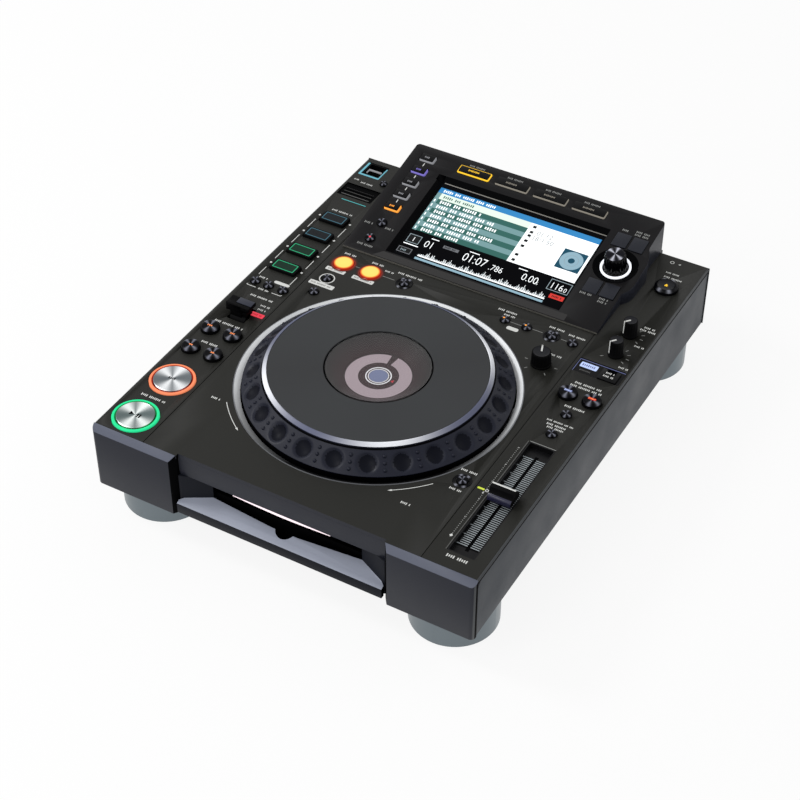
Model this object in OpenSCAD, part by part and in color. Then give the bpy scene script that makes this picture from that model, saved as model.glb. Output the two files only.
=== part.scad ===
// Tabletop disc player for DJs: slot-loading drive, touch display on a tilted
// housing, large jog wheel, transport keys, performance pads and tempo fader.
// Millimetres, +Z up, front towards -Y, origin under the middle of the case on the table.

/* [Case] */
// Width of the strip of keys on each side of the jog wheel's ring
side_strip_w = 50.5; // [50:0.5:58]
// Distance from the front of the case to the jog wheel's ring
ring_from_front = 36; // [34:0.5:40]
// Distance from the jog wheel's ring to the display housing
ring_to_console = 25.5; // [25:0.5:32]
// Height of the control panel's top above the table
plate_z = 82.5; // [82:0.5:92]
// Thickness of the control panel and of the display housing's skin
skin_t = 3; // [2.8:0.1:3.4]
// Width of the bevel along the front edge
bevel_w = 5; // [3:0.5:6]
// Sheet thickness of the chassis
sheet_t = 1.5; // [1:0.1:2.5]
// Thickness of the side panels
side_t = 3.3; // [2.5:0.1:3.6]
// Radius of the case's upright corners
corner_r = 4; // [1:0.5:4]

/* [Feet] */
// Height of the feet, which is the case's clearance above the table
foot_h = 26; // [22:1:28]
// Radius of the feet
foot_r = 33.4; // [20:0.2:34]
// Distance from the case's side to the feet's centres
foot_inset_x = 35; // [35:1:50]
// Distance from the case's front and rear to the feet's centres
foot_inset_y = 38; // [38:1:60]

/* [Jog wheel] */
// Radius of the bright ring round the jog wheel
ring_r = 109.5; // [108:0.5:110]
// Width of the bright ring
ring_w = 5.5; // [3:0.5:6]
// Gap between the ring and the dial
ring_gap = 1; // [0.6:0.1:2]
// Radius of the platter on top of the wheel
platter_r = 83.4; // [80:0.2:85]
// Height of the platter's top above the control panel
platter_rise = 18; // [17:0.5:21]
// Radius of the clear window over the centre display
jog_window_r = 40.4; // [36:0.2:44]
// Number of finger dimples round the dial
dimples = 24; // [18:1:26]
// Radius of the ball that cuts a dimple
dimple_ball_r = 12; // [10:0.5:13]
// Depth of a dimple
dimple_depth = 3; // [1:0.25:3.5]
// Angle of the first dimple from the case's right side
first_dimple = 10.5; // [0:0.5:15]
// Radius of the wheel's bearing post
post_r = 19.95; // [15:0.05:22]
// Running clearance of the wheel on its post, on the radius
post_fit = 0.05; // [0.02:0.01:0.1]

/* [Display housing] */
// Distance from the case's left side to the housing
console_left = 47; // [46:0.5:48]
// Distance from the case's right side to the housing
console_right = 43; // [42:0.5:44]
// Height of the housing's front edge above the control panel
console_front_rise = 1.5; // [1:0.25:3]
// Tilt of the display
console_tilt = 12; // [10:0.5:13]
// Width of the screen opening
screen_w = 152; // [140:1:164]
// Length of the screen opening up the slope
screen_l = 88; // [80:1:94]
// Width of the housing left of the screen, where the source keys are
source_strip_w = 41; // [40:0.5:48]
// Width of the housing right of the screen, where the selector is
selector_strip_w = 37; // [36:0.5:44]
// Distance from the housing's front edge to the screen
screen_from_front = 8.6; // [8:0.2:14]
// Distance from the screen up to the middle of the menu keys
menu_from_screen = 18.9; // [18:0.1:21]
// Distance from the middle of the menu keys to the housing's rear edge
menu_from_rear = 12.8; // [12:0.1:16]

/* [Keys] */
// Clearance round every key in its hole
key_gap = 0.3; // [0.2:0.05:0.4]
// Travel of the keys
key_travel = 0.8; // [0.4:0.1:0.9]
// Radius of the cue and play keys
transport_r = 14.9; // [12:0.1:14.9]
// Width of the light ring round the cue and play keys
transport_ring_w = 3; // [2:0.1:3]
// Width and depth of a performance pad
pad_size = [23.5, 13]; // [10:0.5:24]
// Radius of the search keys
search_r = 7.5; // [5:0.25:7.5]

/* [Tempo fader] */
// Length of the fader's recess
fader_l = 125.5; // [120:0.5:126]
// Width of the fader's recess
fader_w = 21.5; // [18:0.5:22]
// Travel of the fader to each side of its centre
fader_travel = 50; // [30:1:50]
// Length, width and height of the fader's cap
fader_cap = [18.5, 14, 10]; // [8:0.5:20]

/* [Disc drive] */
// Height of the loaded disc's lower face above the table
disc_z = 50; // [49:0.5:50.5]
// Width of the disc slot
slot_w = 126; // [122:1:128]
// Height of the disc slot
slot_h = 8; // [6.5:0.5:9]
// Travel of the pickup from the hub outwards
pickup_travel = 25; // [15:1:25]

/* [Hidden] */
$fn = 64;

// Case, as wide and deep as the wheel and the display housing need
console_w = source_strip_w + screen_w + selector_strip_w;
console_l = screen_from_front + screen_l + menu_from_screen + menu_from_rear;
console_d = console_l * cos(console_tilt);
body_w = max(console_left + console_w + console_right, 2 * (ring_r + side_strip_w));
body_d = ring_from_front + 2 * ring_r + ring_to_console + console_d;
half_w = body_w / 2;
half_d = body_d / 2;
under_z = plate_z - skin_t;
case_z = foot_h;
floor_z = case_z + sheet_t;
edge_r = 2;
groove_w = 1;
side_x = half_w - side_t - 0.7;
bevel_h = 4.5;
front_y = -half_d;
bezel_back_y = front_y + 13;
rear_plate_t = 4;
rear_y = half_d - rear_plate_t;

// Front recess between the two blocks
recess_half_w = 87;
band_y = front_y + 7.5;
band_t = 3;
band_z = plate_z - 19.5;
lip_bottom_z = case_z + 4;
lip_front_z = plate_z - 43.5;
lip_slope = 0.393;
slot_back_y = front_y + 17;
slot_wall_t = 2;
slot_mid_z = disc_z + 1.5;
light_bar_w = 82;
light_bar_size = [2, 1.2];

// Positions on the control panel: from the left side, the right side, the front, the rear,
// and in front of the display housing
console_y = half_d - console_d;
jog = [0, front_y + ring_from_front + ring_r];
function lx(d) = -half_w + d;
function rx(d) = half_w - d;
function fy(d) = front_y + d;
function by(d) = half_d - d;
function cy(d) = console_y - d;

pad_x = lx(22.5);
pad_ys = [fy(307.7), fy(282), fy(257), fy(231.5)];
cue_pos = [lx(22.6), fy(72.8)];
play_pos = [lx(22.6), fy(25.6)];
track_search_at = [[lx(13.2), fy(137.5)], [lx(33.7), fy(137.5)]];
search_at = [[lx(13.2), fy(110.8)], [lx(33.7), fy(110.8)]];
bank_at = [[lx(10.5), fy(205.7)], [lx(23), fy(205.7)], [lx(36.5), fy(205.7)], [lx(32), by(33)]];
bank_r = [4.3, 4.3, 4.3, 3.4];
lever_pos = [lx(24), fy(165)];
lever_drop = 6;
lever_barrel = [14, 8.4];
lever_head = [21, 11, 7];
lever_rise = 12;
loop_in_pos = [lx(60), cy(20)];
loop_out_pos = [lx(85), cy(20)];
loop_r = 8.4;
reloop_pos = [lx(115.5), cy(18.5)];
small_r = 4.2;
slip_at = [[lx(58.5), cy(43.5)], [lx(58.5), cy(63.5)]];
memory_at = [for (d = [113, 94, 72.5, 54.5]) [rx(d), cy(19.5)]];
reset_r = ring_r + 11.5;
tempo_at = [[jog[0] + reset_r * cos(30.3), jog[1] - reset_r * sin(30.3)],
            [rx(22.5), fy(184.5)], [rx(22.5), fy(160)]];
jog_adjust_pos = [rx(65), cy(53)];
release_pos = [rx(20.8), fy(292.5)];
brake_pos = [rx(20.3), fy(265.4)];
eject_pos = [rx(20), by(45.5)];
eject_r = 9.7;
sync_pos = [rx(31.7), fy(206)];
master_pos = [rx(12), fy(206)];
sync_r = 7.5;
mode_pos = [rx(13.6), fy(240.2)];
mode_size = [15, 13.3];
mode_window = [39, 17];
mode_window_pos = [rx(22.5), fy(241.5)];
fader_pos = [rx(22.2), fy(83)];
usb_pos = [lx(14.25), by(19.5)];
usb_size = [20.5, 20];
usb_port = [12.6, 5.4];
door_pos = [lx(19.75), by(54)];
door_size = [32.4, 18];
door_hinge_inset = 1.3;
door_z = plate_z - 1.6;
door_barrel_r = 1.2;
door_pin_r = 0.5;
strip_lines = [lx(44), rx(44.5)];

// Key details, below the skin that the keys come through
flange_w = 1.2;
flange_t = 1.5;
key_chamfer = 0.6;
stem_r = 1.6;
switch_size = [6, 6, 3.5];
board_t = 1.6;
board_drop = 14.9;
stem_drop = board_drop - switch_size[2] - key_travel - 0.2;
seat_gap = 0.3;
board_z = plate_z - board_drop - board_t;
boss_r = 2.5;
knob_hole_r = 3.3;
knob_shaft_r = 3;

// Jog wheel
ring_inner_r = ring_r - ring_w;
dial_r = ring_inner_r - ring_gap;
trim_w = 3.5;
trim_rise = 2;
dial_bottom_z = under_z - 0.5;
dial_web_z = under_z + 1;
dial_edge_z = plate_z + 2.1;
platter_z = plate_z + platter_rise;
trim_z = platter_z - 3;
crown_r = platter_r + trim_w + 0.3;
hub_w = 5;
bracket_z = disc_z + 11;
bracket_t = 2;
hub_bottom_z = bracket_z + bracket_t + 2.3;
bracket_size = [2 * (ring_r + 6.5), 92];
pillar_at = [for (sx = [1, -1], sy = [1, -1]) [sx * (bracket_size[0] / 2 - 5), sy * (bracket_size[1] / 2 - 5.5)]];
pillar_r = 4;
display_z = plate_z + 8.3;
display_r = jog_window_r - 2.4;

// Display housing
console_x0 = lx(console_left);
console_x1 = rx(console_right);
console_z = plate_z + console_front_rise;
console_wall = 2.5;
bulge_x = console_x1 + 5.5;
screen_pos = [console_x1 - selector_strip_w - screen_w / 2, screen_from_front + screen_l / 2];
screen_bevel = 6.5;
glass_t = 1.8;
lcd_t = 5;
source_x = console_x0 + 17;
menu_v = screen_from_front + screen_l + menu_from_screen;
source_vs = [for (d = [0.5, 15.8, 31.2, 46.5, 61.8]) menu_v - d];
source_size = [14.5, 8.6];
side_key_at = [[console_x0 + 17.5, source_vs[4] * 0.644], [console_x0 + 17, source_vs[4] * 0.294]];
menu_xs = [for (d = [-55.5, -19.7, 15.7, 51.2]) screen_pos[0] + d];
menu_size = [29.5, 8.8];
rotary_pos = [console_x1 - 16.8, 69];
rotary_r = 9.6;
rotary_h = 16;
rotary_dish_r = 18.5;
rotary_floor_r = 13.6;
rotary_floor = 2;
browse_size = [12.6, 14.5];
browse_dx = 7.3;
browse_dv = 26.6;

// Rear panel
pocket_y = half_d - 11;
rear_mid_z = (case_z + 8 + board_z - 2) / 2;
rca_at = [[-10, rear_mid_z + 8], [-10, rear_mid_z - 8], [14, rear_mid_z - 8]];
rca_r = 4.15;
jack_pos = [36, rear_mid_z - 8];
lan_pos = [rx(94), rear_mid_z - 3];
usb_b_pos = [rx(66), rear_mid_z - 5];
inlet_pos = [lx(42), rear_mid_z];
switch_pos = [lx(82), rear_mid_z];
switch_cap = [12, 8];

// Disc drive
drive_w = 134;
drive_front_y = slot_back_y + slot_wall_t;
drive_back_y = fy(166);
drive_deck_z = disc_z - 4;
drive_roof_z = disc_z + 6.5;
spindle_y = fy(98);
hub_r = 7.4;
spindle_shaft_r = 1.5;
motor_r = 13;
motor_z = drive_deck_z - 10;
running_fit = 0.05;
rod_r = 1.5;
rod_x = 14;
sled_l = 20;
sled_y = spindle_y + motor_r + 4.5;
sled_h = 7;
rod_z = drive_deck_z - 4.5;

// ---------------------------------------------------------------- helpers

module rounded_rect(size, r) {
    square([size[0] - 2 * r, size[1]], center = true);
    square([size[0], size[1] - 2 * r], center = true);
    for (sx = [-1, 1], sy = [-1, 1])
        translate([sx * (size[0] / 2 - r), sy * (size[1] / 2 - r)]) circle(r);
}

module block(x0, x1, y0, y1, z0, z1) {
    translate([x0, y0, z0]) cube([x1 - x0, y1 - y0, z1 - z0]);
}

module on_plate(pos) {
    translate([pos[0], pos[1], plate_z]) children();
}

module on_console(pos) {
    translate([0, console_y, console_z]) rotate([console_tilt, 0, 0])
        translate([pos[0], pos[1], 0]) children();
}

// A profile in Y and Z, drawn out along X
module along_x(x0, x1) {
    translate([x0, 0, 0]) rotate([90, 0, 90]) linear_extrude(x1 - x0) children();
}

// A round key: stem, flange under the skin, cap with a chamfered edge
module round_key(r, rise, skin = skin_t, stem = stem_drop) {
    low = skin + seat_gap + flange_t;
    rotate_extrude() polygon([
        [0, -stem], [stem_r, -stem], [stem_r, -low], [r + flange_w, -low],
        [r + flange_w, -skin - seat_gap], [r, -skin - seat_gap],
        [r, rise - key_chamfer], [r - key_chamfer, rise], [0, rise]]);
}

module rect_key(size, r, rise, skin = skin_t, stem = stem_drop) {
    low = skin + seat_gap + flange_t;
    wide = [size[0] + 2 * flange_w, size[1] + 2 * flange_w];
    translate([0, 0, -low]) linear_extrude(low + rise) rounded_rect(size, r);
    translate([0, 0, -low]) linear_extrude(flange_t) rounded_rect(wide, r + flange_w);
    translate([0, 0, -stem]) cylinder(h = stem - low, r = stem_r);
}

// A knob with a flat-sided pointer rib and a shaft that goes through the skin
module knob(r, h, shaft) {
    rotate_extrude() polygon([
        [0, -shaft], [knob_shaft_r, -shaft], [knob_shaft_r, seat_gap], [r, seat_gap],
        [r - 0.5, h - 1], [r - 1.5, h], [0, h]]);
    translate([-0.5, 0, seat_gap]) cube([1, r + 0.4, h - seat_gap - 1.2]);
}

module tact_switch() {
    translate([-switch_size[0] / 2, -switch_size[1] / 2, 0]) cube(switch_size);
}

// A flat on a flange that would meet a side panel
module clear_of_sides() {
    difference() {
        children();
        for (s = [-1, 1]) block(min(s * (side_x - seat_gap), s * (half_w + 9)), max(s * (side_x - seat_gap), s * (half_w + 9)),
                                front_y, half_d, case_z, under_z);
    }
}

function slope_v(y) = (y - console_y) / cos(console_tilt);

// ------------------------------------------------------------ case pieces

module base_chassis() color("#2c2e30") {
    difference() {
        union() {
            block(-side_x, side_x, bezel_back_y, rear_y, case_z, floor_z);
            for (s = [-1, 1])
                block(min(s * side_x, s * (side_x - sheet_t)), max(s * side_x, s * (side_x - sheet_t)),
                      bezel_back_y, rear_y, case_z, board_z);
            for (p = main_board_posts()) translate([p[0], p[1], case_z]) cylinder(h = 8, r = 3);
            for (x = [-drive_w / 2 + 4, drive_w / 2 - 4], y = [drive_front_y + 8, drive_back_y - 8])
                translate([x, y, case_z]) cylinder(h = motor_z - case_z, r = 4);
        }
        for (p = foot_centres()) translate([p[0], p[1], case_z - 1]) cylinder(h = sheet_t + 2, r = 2.2);
        for (p = case_screws()) translate([p[0], p[1], case_z - 1]) cylinder(h = sheet_t + 2, r = 1.7);
        for (i = [-6:6]) block(i * 9 - 2, i * 9 + 2, fy(215), fy(245), case_z - 1, floor_z + 1);
    }
}

module side_panels() color("#34373c") {
    for (s = [0, 1]) mirror([s, 0, 0]) {
        along_x(side_x, side_x + side_t) side_outline();
        along_x(side_x, side_x + side_t / 3) translate([front_y + bevel_w, case_z])
            square([rear_y - front_y - bevel_w, under_z - case_z]);
    }
}

module side_outline() {
    y0 = front_y + bevel_w + groove_w;
    y1 = rear_y;
    z1 = under_z - groove_w;
    r = 7;
    translate([y0, case_z]) square([y1 - y0, z1 - case_z - r]);
    translate([y0 + r, case_z]) square([y1 - y0 - r, z1 - case_z]);
    translate([y0 + r, z1 - r]) circle(r);
}

// Two hollow blocks at the ends, joined by the band above the disc slot
module front_bezel() color("#24262a") {
    difference() {
        union() {
            along_x(-half_w, half_w) bezel_profile();
            block(-recess_half_w - 3, recess_half_w + 3, band_y, slot_back_y, band_z, under_z);
        }
        block(-recess_half_w, recess_half_w, front_y - 1, band_y, case_z - 1, plate_z + 1);
        block(-recess_half_w, recess_half_w, band_y - 1, slot_back_y + 1, case_z - 1, band_z);
        block(-recess_half_w, recess_half_w, band_y + band_t, slot_back_y + 1, band_z + 2, plate_z);
        for (s = [-1, 1]) {
            block(min(s * (recess_half_w + 3), s * (half_w - 3)), max(s * (recess_half_w + 3), s * (half_w - 3)),
                  front_y + 3, slot_back_y + 1, case_z + 2, under_z - 2);
            block(min(s * (recess_half_w + 3), s * (half_w - 3)), max(s * (recess_half_w + 3), s * (half_w - 3)),
                  front_y + bevel_w + 0.6, slot_back_y + 1, under_z - 3, under_z + 1);
            inner_corner_cut(s);
            upright_corner_cut(s, front_y, 1);
            block(min(s * (side_x), s * (half_w + 1)), max(s * (side_x), s * (half_w + 1)),
                  front_y + bevel_w, slot_back_y + 1, case_z - 1, under_z);
        }
    }
}

module bezel_profile() {
    polygon([
        [front_y, case_z], [front_y, plate_z - bevel_h], [front_y + bevel_w, plate_z],
        [front_y + bevel_w, under_z], [bezel_back_y, under_z], [bezel_back_y, case_z]]);
}

// Slants each block's inner front corner
module inner_corner_cut(s) {
    x = s * recess_half_w;
    translate([0, 0, case_z - 1]) linear_extrude(plate_z)
        polygon([[x - s, front_y + bevel_w + 0.5], [x, front_y + bevel_w + 0.5], [x + 4 * s, front_y],
                 [x + 4 * s, front_y - 1], [x - s, front_y - 1]]);
}

module upright_corner_cut(s, y, dir) {
    translate([s * (half_w - corner_r), y + dir * corner_r, case_z - 1]) difference() {
        translate([s > 0 ? 0 : -corner_r - 1, dir > 0 ? -corner_r - 1 : 0, 0])
            cube([corner_r + 1, corner_r + 1, plate_z]);
        translate([0, 0, -1]) cylinder(h = plate_z + 2, r = corner_r);
    }
}

module slot_lip() color("#3a3c44") {
    floor_t = 2;
    intersection() {
        along_x(-recess_half_w + 0.1, recess_half_w - 0.1) polygon([
            [front_y, lip_bottom_z], [front_y, lip_front_z],
            [slot_back_y, lip_front_z + (slot_back_y - front_y) * lip_slope], [slot_back_y, lip_bottom_z]]);
        difference() {
            translate([0, 0, lip_bottom_z]) linear_extrude(40) lip_outline();
            translate([0, front_y + 13.5, lip_bottom_z]) cylinder(h = 40, r = 8);
        }
    }
    difference() {
        block(-recess_half_w + 0.1, recess_half_w - 0.1, front_y, slot_back_y, lip_bottom_z, lip_bottom_z + floor_t);
        inner_corner_cut(-1);
        inner_corner_cut(1);
    }
    for (s = [-1, 1]) translate([0, 0, lip_bottom_z]) linear_extrude(band_z - lip_bottom_z)
        polygon([[s * (recess_half_w - 0.1), front_y + 5], [s * (recess_half_w - 3), front_y + 5.6],
                 [s * (slot_w / 2), front_y + 14], [s * (slot_w / 2), slot_back_y],
                 [s * (recess_half_w - 0.1), slot_back_y]]);
    difference() {
        block(-recess_half_w + 0.1, recess_half_w - 0.1, slot_back_y, slot_back_y + slot_wall_t,
              lip_bottom_z, band_z + 2);
        block(-slot_w / 2, slot_w / 2, slot_back_y - 1, slot_back_y + slot_wall_t + 1,
              slot_mid_z - slot_h / 2, slot_mid_z + slot_h / 2);
    }
}

module lip_outline() {
    polygon([
        [-recess_half_w - 4, front_y], [-recess_half_w + 3, front_y + 5.6], [-slot_w / 2, front_y + 14],
        [-10.7, front_y + 10.5], [10.7, front_y + 10.5], [slot_w / 2, front_y + 14],
        [recess_half_w - 3, front_y + 5.6], [recess_half_w + 4, front_y]]);
}

module slot_light_bar() color("white") {
    block(-light_bar_w / 2, light_bar_w / 2, band_y + 0.4, band_y + 0.4 + light_bar_size[0],
          band_z - light_bar_size[1], band_z);
}

module top_panel() color("#2a2a28") {
    difference() {
        intersection() {
            translate([0, 0, under_z - 1]) linear_extrude(skin_t + 2) difference() {
                translate([-half_w - 1, front_y + bevel_w]) square([body_w + 2, rear_y - front_y - bevel_w]);
                translate([-recess_half_w, front_y]) square([2 * recess_half_w, band_y - front_y]);
                panel_holes();
            }
            translate([0, half_d + 1, 0]) rotate([90, 0, 0]) linear_extrude(body_d + 2) panel_profile();
        }
        for (x = strip_lines) block(x - 0.3, x + 0.3, front_y, half_d, plate_z - 0.6, plate_z + 1);
        translate([mode_window_pos[0], mode_window_pos[1], plate_z - 1])
            linear_extrude(2) rounded_rect(mode_window, 1.5);
        door_hinge_holes();
    }
    for (p = panel_bosses()) translate([p[0], p[1], board_z + board_t])
        cylinder(h = board_drop - skin_t, r = boss_r);
}

// Cross-section of the control panel, its upper edges rounded
module panel_profile() {
    translate([-half_w, under_z]) square([body_w, skin_t - edge_r]);
    translate([-half_w + edge_r, under_z]) square([body_w - 2 * edge_r, skin_t]);
    intersection() {
        for (s = [-1, 1]) translate([s * (half_w - edge_r), plate_z - edge_r]) circle(edge_r);
        translate([-half_w - 1, under_z]) square([body_w + 2, skin_t + 1]);
    }
}

module panel_holes() {
    translate(jog) circle(ring_r + 0.15, $fn = 128);
    translate([console_x0 + 5, console_y + 3.5]) square([console_x1 - console_x0 - 10, console_d - 9]);
    for (p = [cue_pos, play_pos]) translate(p) circle(transport_r + key_gap + transport_ring_w + 0.15);
    for (p = concat(track_search_at, search_at)) translate(p) circle(search_r + key_gap);
    for (i = [0:3]) translate(bank_at[i]) circle(bank_r[i] + key_gap);
    for (p = [loop_in_pos, loop_out_pos]) translate(p) circle(loop_r + key_gap);
    for (p = concat([reloop_pos], slip_at, memory_at, tempo_at)) translate(p) circle(small_r + key_gap);
    for (p = [sync_pos, master_pos]) translate(p) circle(sync_r + key_gap);
    translate(eject_pos) circle(eject_r + key_gap);
    for (p = [release_pos, brake_pos, jog_adjust_pos]) translate(p) circle(knob_hole_r);
    for (y = pad_ys) translate([pad_x, y]) rounded_rect([pad_size[0] + 2 * key_gap, pad_size[1] + 2 * key_gap], 1.3);
    translate(mode_pos) rounded_rect([mode_size[0] + 2 * key_gap, mode_size[1] + 2 * key_gap], 1.3);
    translate(fader_pos) rounded_rect([fader_w, fader_l], 1);
    translate(usb_pos) rounded_rect(usb_size, 1);
    translate(door_pos) square([door_size[0] + 2 * key_gap, door_size[1] + 2 * key_gap], center = true);
    translate(lever_pos) rounded_rect([lever_barrel[0] + 2, 2 * lever_barrel[1] + 2], 1);
}

module door_hinge_holes() {
    y = door_pos[1] + door_size[1] / 2 - door_hinge_inset;
    translate([door_pos[0] - door_size[0] / 2 - 2, y, door_z]) rotate([0, 90, 0])
        cylinder(h = door_size[0] + 4, r = door_pin_r + running_fit);
}

// Connectors sit in a pocket, so that plugs' collars stay inside the case's outline
module rear_panel() color("#2c2e30") {
    difference() {
        union() {
            block(-half_w, half_w, rear_y, half_d, case_z, plate_z);
            block(-half_w + 10, half_w - 10, pocket_y - 2, half_d, case_z + 6, board_z);
        }
        block(-half_w + 12, half_w - 12, pocket_y, half_d + 1, case_z + 8, board_z - 2);
        rear_holes();
        for (s = [-1, 1]) upright_corner_cut(s, half_d, -1);
        rear_bevel_cut(-half_w - 1, console_x0);
        rear_bevel_cut(console_x1, half_w + 1);
    }
}

module rear_bevel_cut(x0, x1) {
    along_x(x0, x1) polygon([[half_d - 4, plate_z], [half_d - 4, plate_z + 1], [half_d + 1, plate_z + 1],
                             [half_d + 1, plate_z - 4], [half_d, plate_z - 4]]);
}

module facing_rear(pos) {
    translate([pos[0], pocket_y, pos[1]]) rotate([-90, 0, 0]) children();
}

module rear_holes() {
    for (p = rca_at) facing_rear(p) translate([0, 0, -3]) cylinder(h = 4, r = rca_r + 0.2);
    facing_rear(jack_pos) translate([0, 0, -3]) cylinder(h = 4, r = 3.7);
    facing_rear(lan_pos) translate([0, 0, -3]) linear_extrude(4) square([16.4, 13.9], center = true);
    facing_rear(usb_b_pos) translate([0, 0, -3]) linear_extrude(4) square([12.4, 11.4], center = true);
    facing_rear(inlet_pos) translate([0, 0, -3]) linear_extrude(4) square([28.4, 20.4], center = true);
    facing_rear(switch_pos) translate([0, 0, -3]) linear_extrude(4)
        square([switch_cap[0] + 2 * key_gap, switch_cap[1] + 2 * key_gap], center = true);
}

// Audio, digital, control, network and host sockets, and the power switch's body
module rear_sockets() color("#b8b8b0") {
    for (p = rca_at) facing_rear(p) difference() {
        union() {
            translate([0, 0, -2.2]) cylinder(h = 10.5, r = rca_r);
            translate([-5, -5, -14]) cube([10, 10, 12]);
        }
        translate([0, 0, -6]) cylinder(h = 20, r = 1.8);
    }
    facing_rear(jack_pos) difference() {
        union() {
            translate([0, 0, -2.2]) cylinder(h = 4.2, r = 3.5);
            translate([-5, -5, -14]) cube([10, 10, 12]);
        }
        translate([0, 0, -10]) cylinder(h = 20, r = 1.8);
    }
    facing_rear(lan_pos) difference() {
        union() {
            translate([-8, -6.75, -16]) cube([16, 13.5, 17]);
            translate([-9, -7.75, -16]) cube([18, 15.5, 14]);
        }
        translate([-5.9, -4, -11]) cube([11.8, 8, 13]);
    }
    facing_rear(usb_b_pos) difference() {
        union() {
            translate([-6, -5.5, -16]) cube([12, 11, 17]);
            translate([-7, -6.5, -16]) cube([14, 13, 14]);
        }
        translate([-4.25, -3.9, -4.5]) cube([8.5, 7.8, 6]);
    }
    facing_rear(switch_pos) difference() {
        translate([-9.5, -8, -24]) cube([19, 16, 22]);
        translate([-7.6, -6, -12]) cube([15.2, 12, 11]);
    }
}

module power_inlet() color("#1a1a1a") {
    facing_rear(inlet_pos) {
        difference() {
            union() {
                translate([-14, -10, -20]) cube([28, 20, 20]);
                linear_extrude(2.5) rounded_rect([34, 26], 3);
            }
            translate([-12, -8, -13]) cube([24, 16, 17]);
        }
        for (x = [-7, 0, 7]) translate([x - 1, (x == 0 ? 1 : -3.5), -14]) cube([2, 4, 7.5]);
    }
}

module feet() color("#9aa0a2") {
    for (p = foot_centres()) translate([p[0], p[1], 0]) difference() {
        rotate_extrude($fn = 128) polygon([
            [2.2, 14], [6.5, 14], [6.5, 0], [foot_r - 1, 0], [foot_r, 1], [foot_r, foot_h], [2.2, foot_h]]);
    }
}

module screws() color("silver") {
    for (p = foot_centres()) translate([p[0], p[1], 0]) screw(14, 4.2, 2, foot_h - 14 + sheet_t + 5);
    for (p = case_screws()) translate([p[0], p[1], 0]) screw(case_z, 2.8, 1.5, sheet_t + 5);
}

// Head below z, shank above it
module screw(z, head_r, shank_r, length) {
    translate([0, 0, z]) rotate_extrude($fn = 32) polygon([
        [0, -1.4], [head_r * 0.4, -1.4], [head_r * 0.4, -2], [head_r * 0.8, -2], [head_r, -1.4], [head_r, 0],
        [shank_r, 0], [shank_r, length - 1], [shank_r - 0.6, length], [0, length]]);
}

function foot_centres() = [for (sx = [-1, 1], sy = [-1, 1])
    [sx * (half_w - foot_inset_x), sy * (half_d - foot_inset_y)]];
function case_screws() = [for (sx = [-1, 1], y = [fy(90), fy(150), fy(256), fy(316)]) [sx * (side_x - 10), y]];
function main_board_posts() = concat(
    [for (x = [lx(112), rx(14)], y = [fy(232), rear_y - 20]) [x, y]],
    [for (x = [lx(12), lx(98)], y = [fy(270), rear_y - 20]) [x, y]]);
function panel_bosses() = [
    [lx(8), fy(45)], [lx(38), fy(96)], [lx(8), fy(180)], [lx(38), fy(222)], [lx(6.85), by(70)],
    [rx(8), fy(170)], [rx(38), fy(228)], [rx(8), fy(320)], [rx(38), fy(340)],
    [lx(52), cy(32.5)], [lx(100), cy(30.5)], [0, cy(14.5)], [rx(84), cy(32.5)], [rx(52), cy(34.5)],
    [tempo_at[0][0] + 7.5, tempo_at[0][1] + 7.5]];

// ------------------------------------------------------- display housing

module housing_outline(inset) {
    r = 3;
    x0 = console_x0 + inset;
    x1 = console_x1 - inset;
    y0 = console_y + inset;
    y1 = half_d - inset;
    translate([x0, y0]) square([x1 - x0, y1 - y0 - r]);
    translate([x0 + r, y0]) square([x1 - x0 - 2 * r, y1 - y0]);
    for (x = [x0 + r, x1 - r]) translate([x, y1 - r]) circle(r);
    bulge_y = console_y + rotary_pos[1] * cos(console_tilt);
    if (inset == 0) polygon([
        [x1 - 1, bulge_y + 29], [x1, bulge_y + 27], [bulge_x - 1.5, bulge_y + 17], [bulge_x, bulge_y + 11],
        [bulge_x, bulge_y - 13], [bulge_x - 1.5, bulge_y - 19], [x1, bulge_y - 25], [x1 - 1, bulge_y - 27]]);
}

// The space under the tilted face, lowered by drop
module under_slope(drop) {
    on_console([0, 0]) translate([-body_w, -100, -100 - drop]) cube([2 * body_w, 400, 100]);
}

module display_housing() color("#1d1d20") {
    difference() {
        intersection() {
            translate([0, 0, plate_z]) linear_extrude(60) housing_outline(0);
            under_slope(0);
        }
        intersection() {
            translate([0, 0, plate_z - 1]) linear_extrude(60) housing_outline(console_wall);
            under_slope(skin_t);
        }
        on_console(screen_pos) {
            translate([0, 0, -skin_t - 1]) linear_extrude(skin_t + 2) square([screen_w, screen_l], center = true);
            screen_bevel_cuts();
        }
        for (v = source_vs) on_console([source_x, v]) key_hole(source_size);
        for (x = menu_xs) on_console([x, menu_v]) key_hole(menu_size);
        for (p = side_key_at) on_console(p) translate([0, 0, -skin_t - 1])
            cylinder(h = skin_t + 2, r = small_r + key_gap);
        on_console(rotary_pos) {
            rotate_extrude() polygon([
                [0, -skin_t - 1], [knob_hole_r, -skin_t - 1], [knob_hole_r, -rotary_floor],
                [rotary_floor_r, -rotary_floor], [rotary_dish_r, 0], [rotary_dish_r, 1], [0, 1]]);
            for (sx = [-1, 1], sv = [-1, 1]) translate([0, 0, -skin_t - 1])
                linear_extrude(skin_t + 2) browse_outline(sx, sv, key_gap);
        }
    }
    for (p = console_bosses()) on_console(p) translate([0, 0, -board_drop])
        cylinder(h = board_drop - skin_t, r = boss_r);
}

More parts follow.
